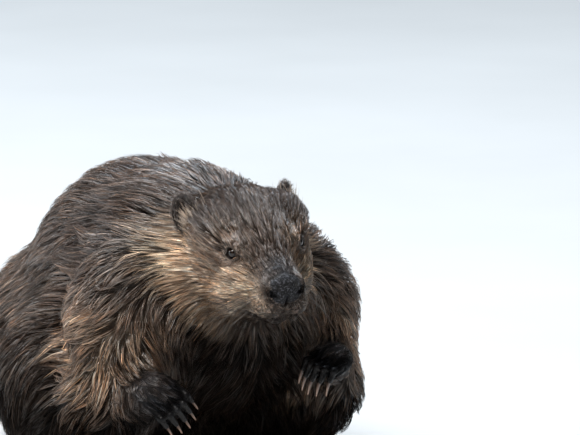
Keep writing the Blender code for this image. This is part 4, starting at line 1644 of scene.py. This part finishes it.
def scale_material():
    n = Nodes("tail scales")
    grain = n.noise(900.0, 4.0)
    stops = [(0.3, (0.016, 0.014, 0.014)), (0.55, (0.040, 0.034, 0.031)), (0.8, (0.075, 0.062, 0.054))]
    return n.surface(
        base_color=n.ramp(n.noise(60.0, 5.0), stops),
        roughness=n.ranged(grain, 0.3, 0.7, 0.34, 0.55),
        normal=n.bump(grain, 0.35, 0.0003),
    )


def whisker_material():
    n = Nodes("whisker")
    stops = [(0.3, (0.012, 0.010, 0.009)), (0.7, (0.10, 0.075, 0.055))]
    return n.surface(base_color=n.ramp(n.noise(120.0, 2.0), stops), roughness=0.35)


def floor_material():
    n = Nodes("pale floor")
    stops = [(0.3, (0.50, 0.50, 0.495)), (0.7, (0.53, 0.53, 0.525))]
    return n.surface(base_color=n.ramp(n.noise(3.0, 3.0), stops), roughness=0.85)


# ------------------------------------------------------------------ stage

VIEW_YAW, VIEW_PITCH = 27.0, 10.0  # the camera stands to the animal's right front, a little above it
VIEW_DISTANCE = 6.0
VIEW_WIDTH = 0.4915  # of the picture, at the nose
NOSE_ASIDE, NOSE_BELOW = 0.0017, 0.0614  # of the nose tip from the picture's centre
SENSOR = 36  # millimetres


def build_camera():
    yaw, pitch = radians(VIEW_YAW), radians(VIEW_PITCH)
    right = Vector((cos(yaw), -sin(yaw), 0))
    up = Vector((sin(yaw) * sin(pitch), cos(yaw) * sin(pitch), cos(pitch)))
    back = right.cross(up)
    target = Vector(NOSE_TIP + ORIGIN) + right * NOSE_ASIDE + up * NOSE_BELOW
    camera = placed("camera", bpy.data.cameras.new("camera"))
    camera.location = target + back * VIEW_DISTANCE
    camera.rotation_mode = "QUATERNION"
    camera.rotation_quaternion = back.to_track_quat("Z", "Y")
    camera.data.sensor_width = SENSOR
    camera.data.lens = SENSOR * VIEW_DISTANCE / VIEW_WIDTH
    camera.data.clip_end = 100
    bpy.context.scene.camera = camera


LIGHTS_AIM = Vector((0, 0, 0.14))
FLOOR_RADIUS, FLOOR_SIDES = 14.0, 64


def add_light(name, azimuth, height, distance, size, power, colour):
    """A square soft light aimed at the animal; azimuth 0 is in front of it, 90 on its left."""
    light = placed(name, bpy.data.lights.new(name, "AREA"))
    light.data.shape, light.data.size = "SQUARE", size
    light.data.energy, light.data.color = power, colour
    a, e = radians(azimuth), radians(height)
    out = Vector((sin(a) * cos(e), -cos(a) * cos(e), sin(e)))
    light.location = LIGHTS_AIM + out * distance
    light.rotation_mode = "QUATERNION"
    light.rotation_quaternion = out.to_track_quat("Z", "Y")


def build_stage():
    ring = [(FLOOR_RADIUS * cos(turn), FLOOR_RADIUS * sin(turn), 0.0) for turn in turns(FLOOR_SIDES)]
    floor = placed("floor", mesh_from("floor", ring, [tuple(range(FLOOR_SIDES))]))
    floor.data.materials.append(floor_material())
    add_light("key", -58, 58, 4.2, 1.6, 260, (1.0, 0.97, 0.93))
    add_light("sky", 165, 62, 4.2, 2.1, 240, (0.76, 0.88, 1.0))
    add_light("catch light", -110, 22, 1.6, 0.42, 10, (0.90, 0.95, 1.0))
    world = bpy.data.worlds.new("studio")
    world.use_nodes = True
    background = world.node_tree.nodes["Background"]
    background.inputs["Color"].default_value = (0.60, 0.62, 0.65, 1)
    background.inputs["Strength"].default_value = 0.13
    bpy.context.scene.world = world


# ------------------------------------------------------------------ the whole

bpy.context.scene.view_settings.view_transform = "Standard"
build_camera()
skin = build_skin(skin_material())
build_coat(skin, coat_material())
wet_eye = eye_material()
for eye_side in (LEFT, RIGHT):
    build_eye(eye_side, wet_eye)
build_claws(horn_material())
build_whiskers(whisker_material())
build_scales(scale_material())
build_stage()
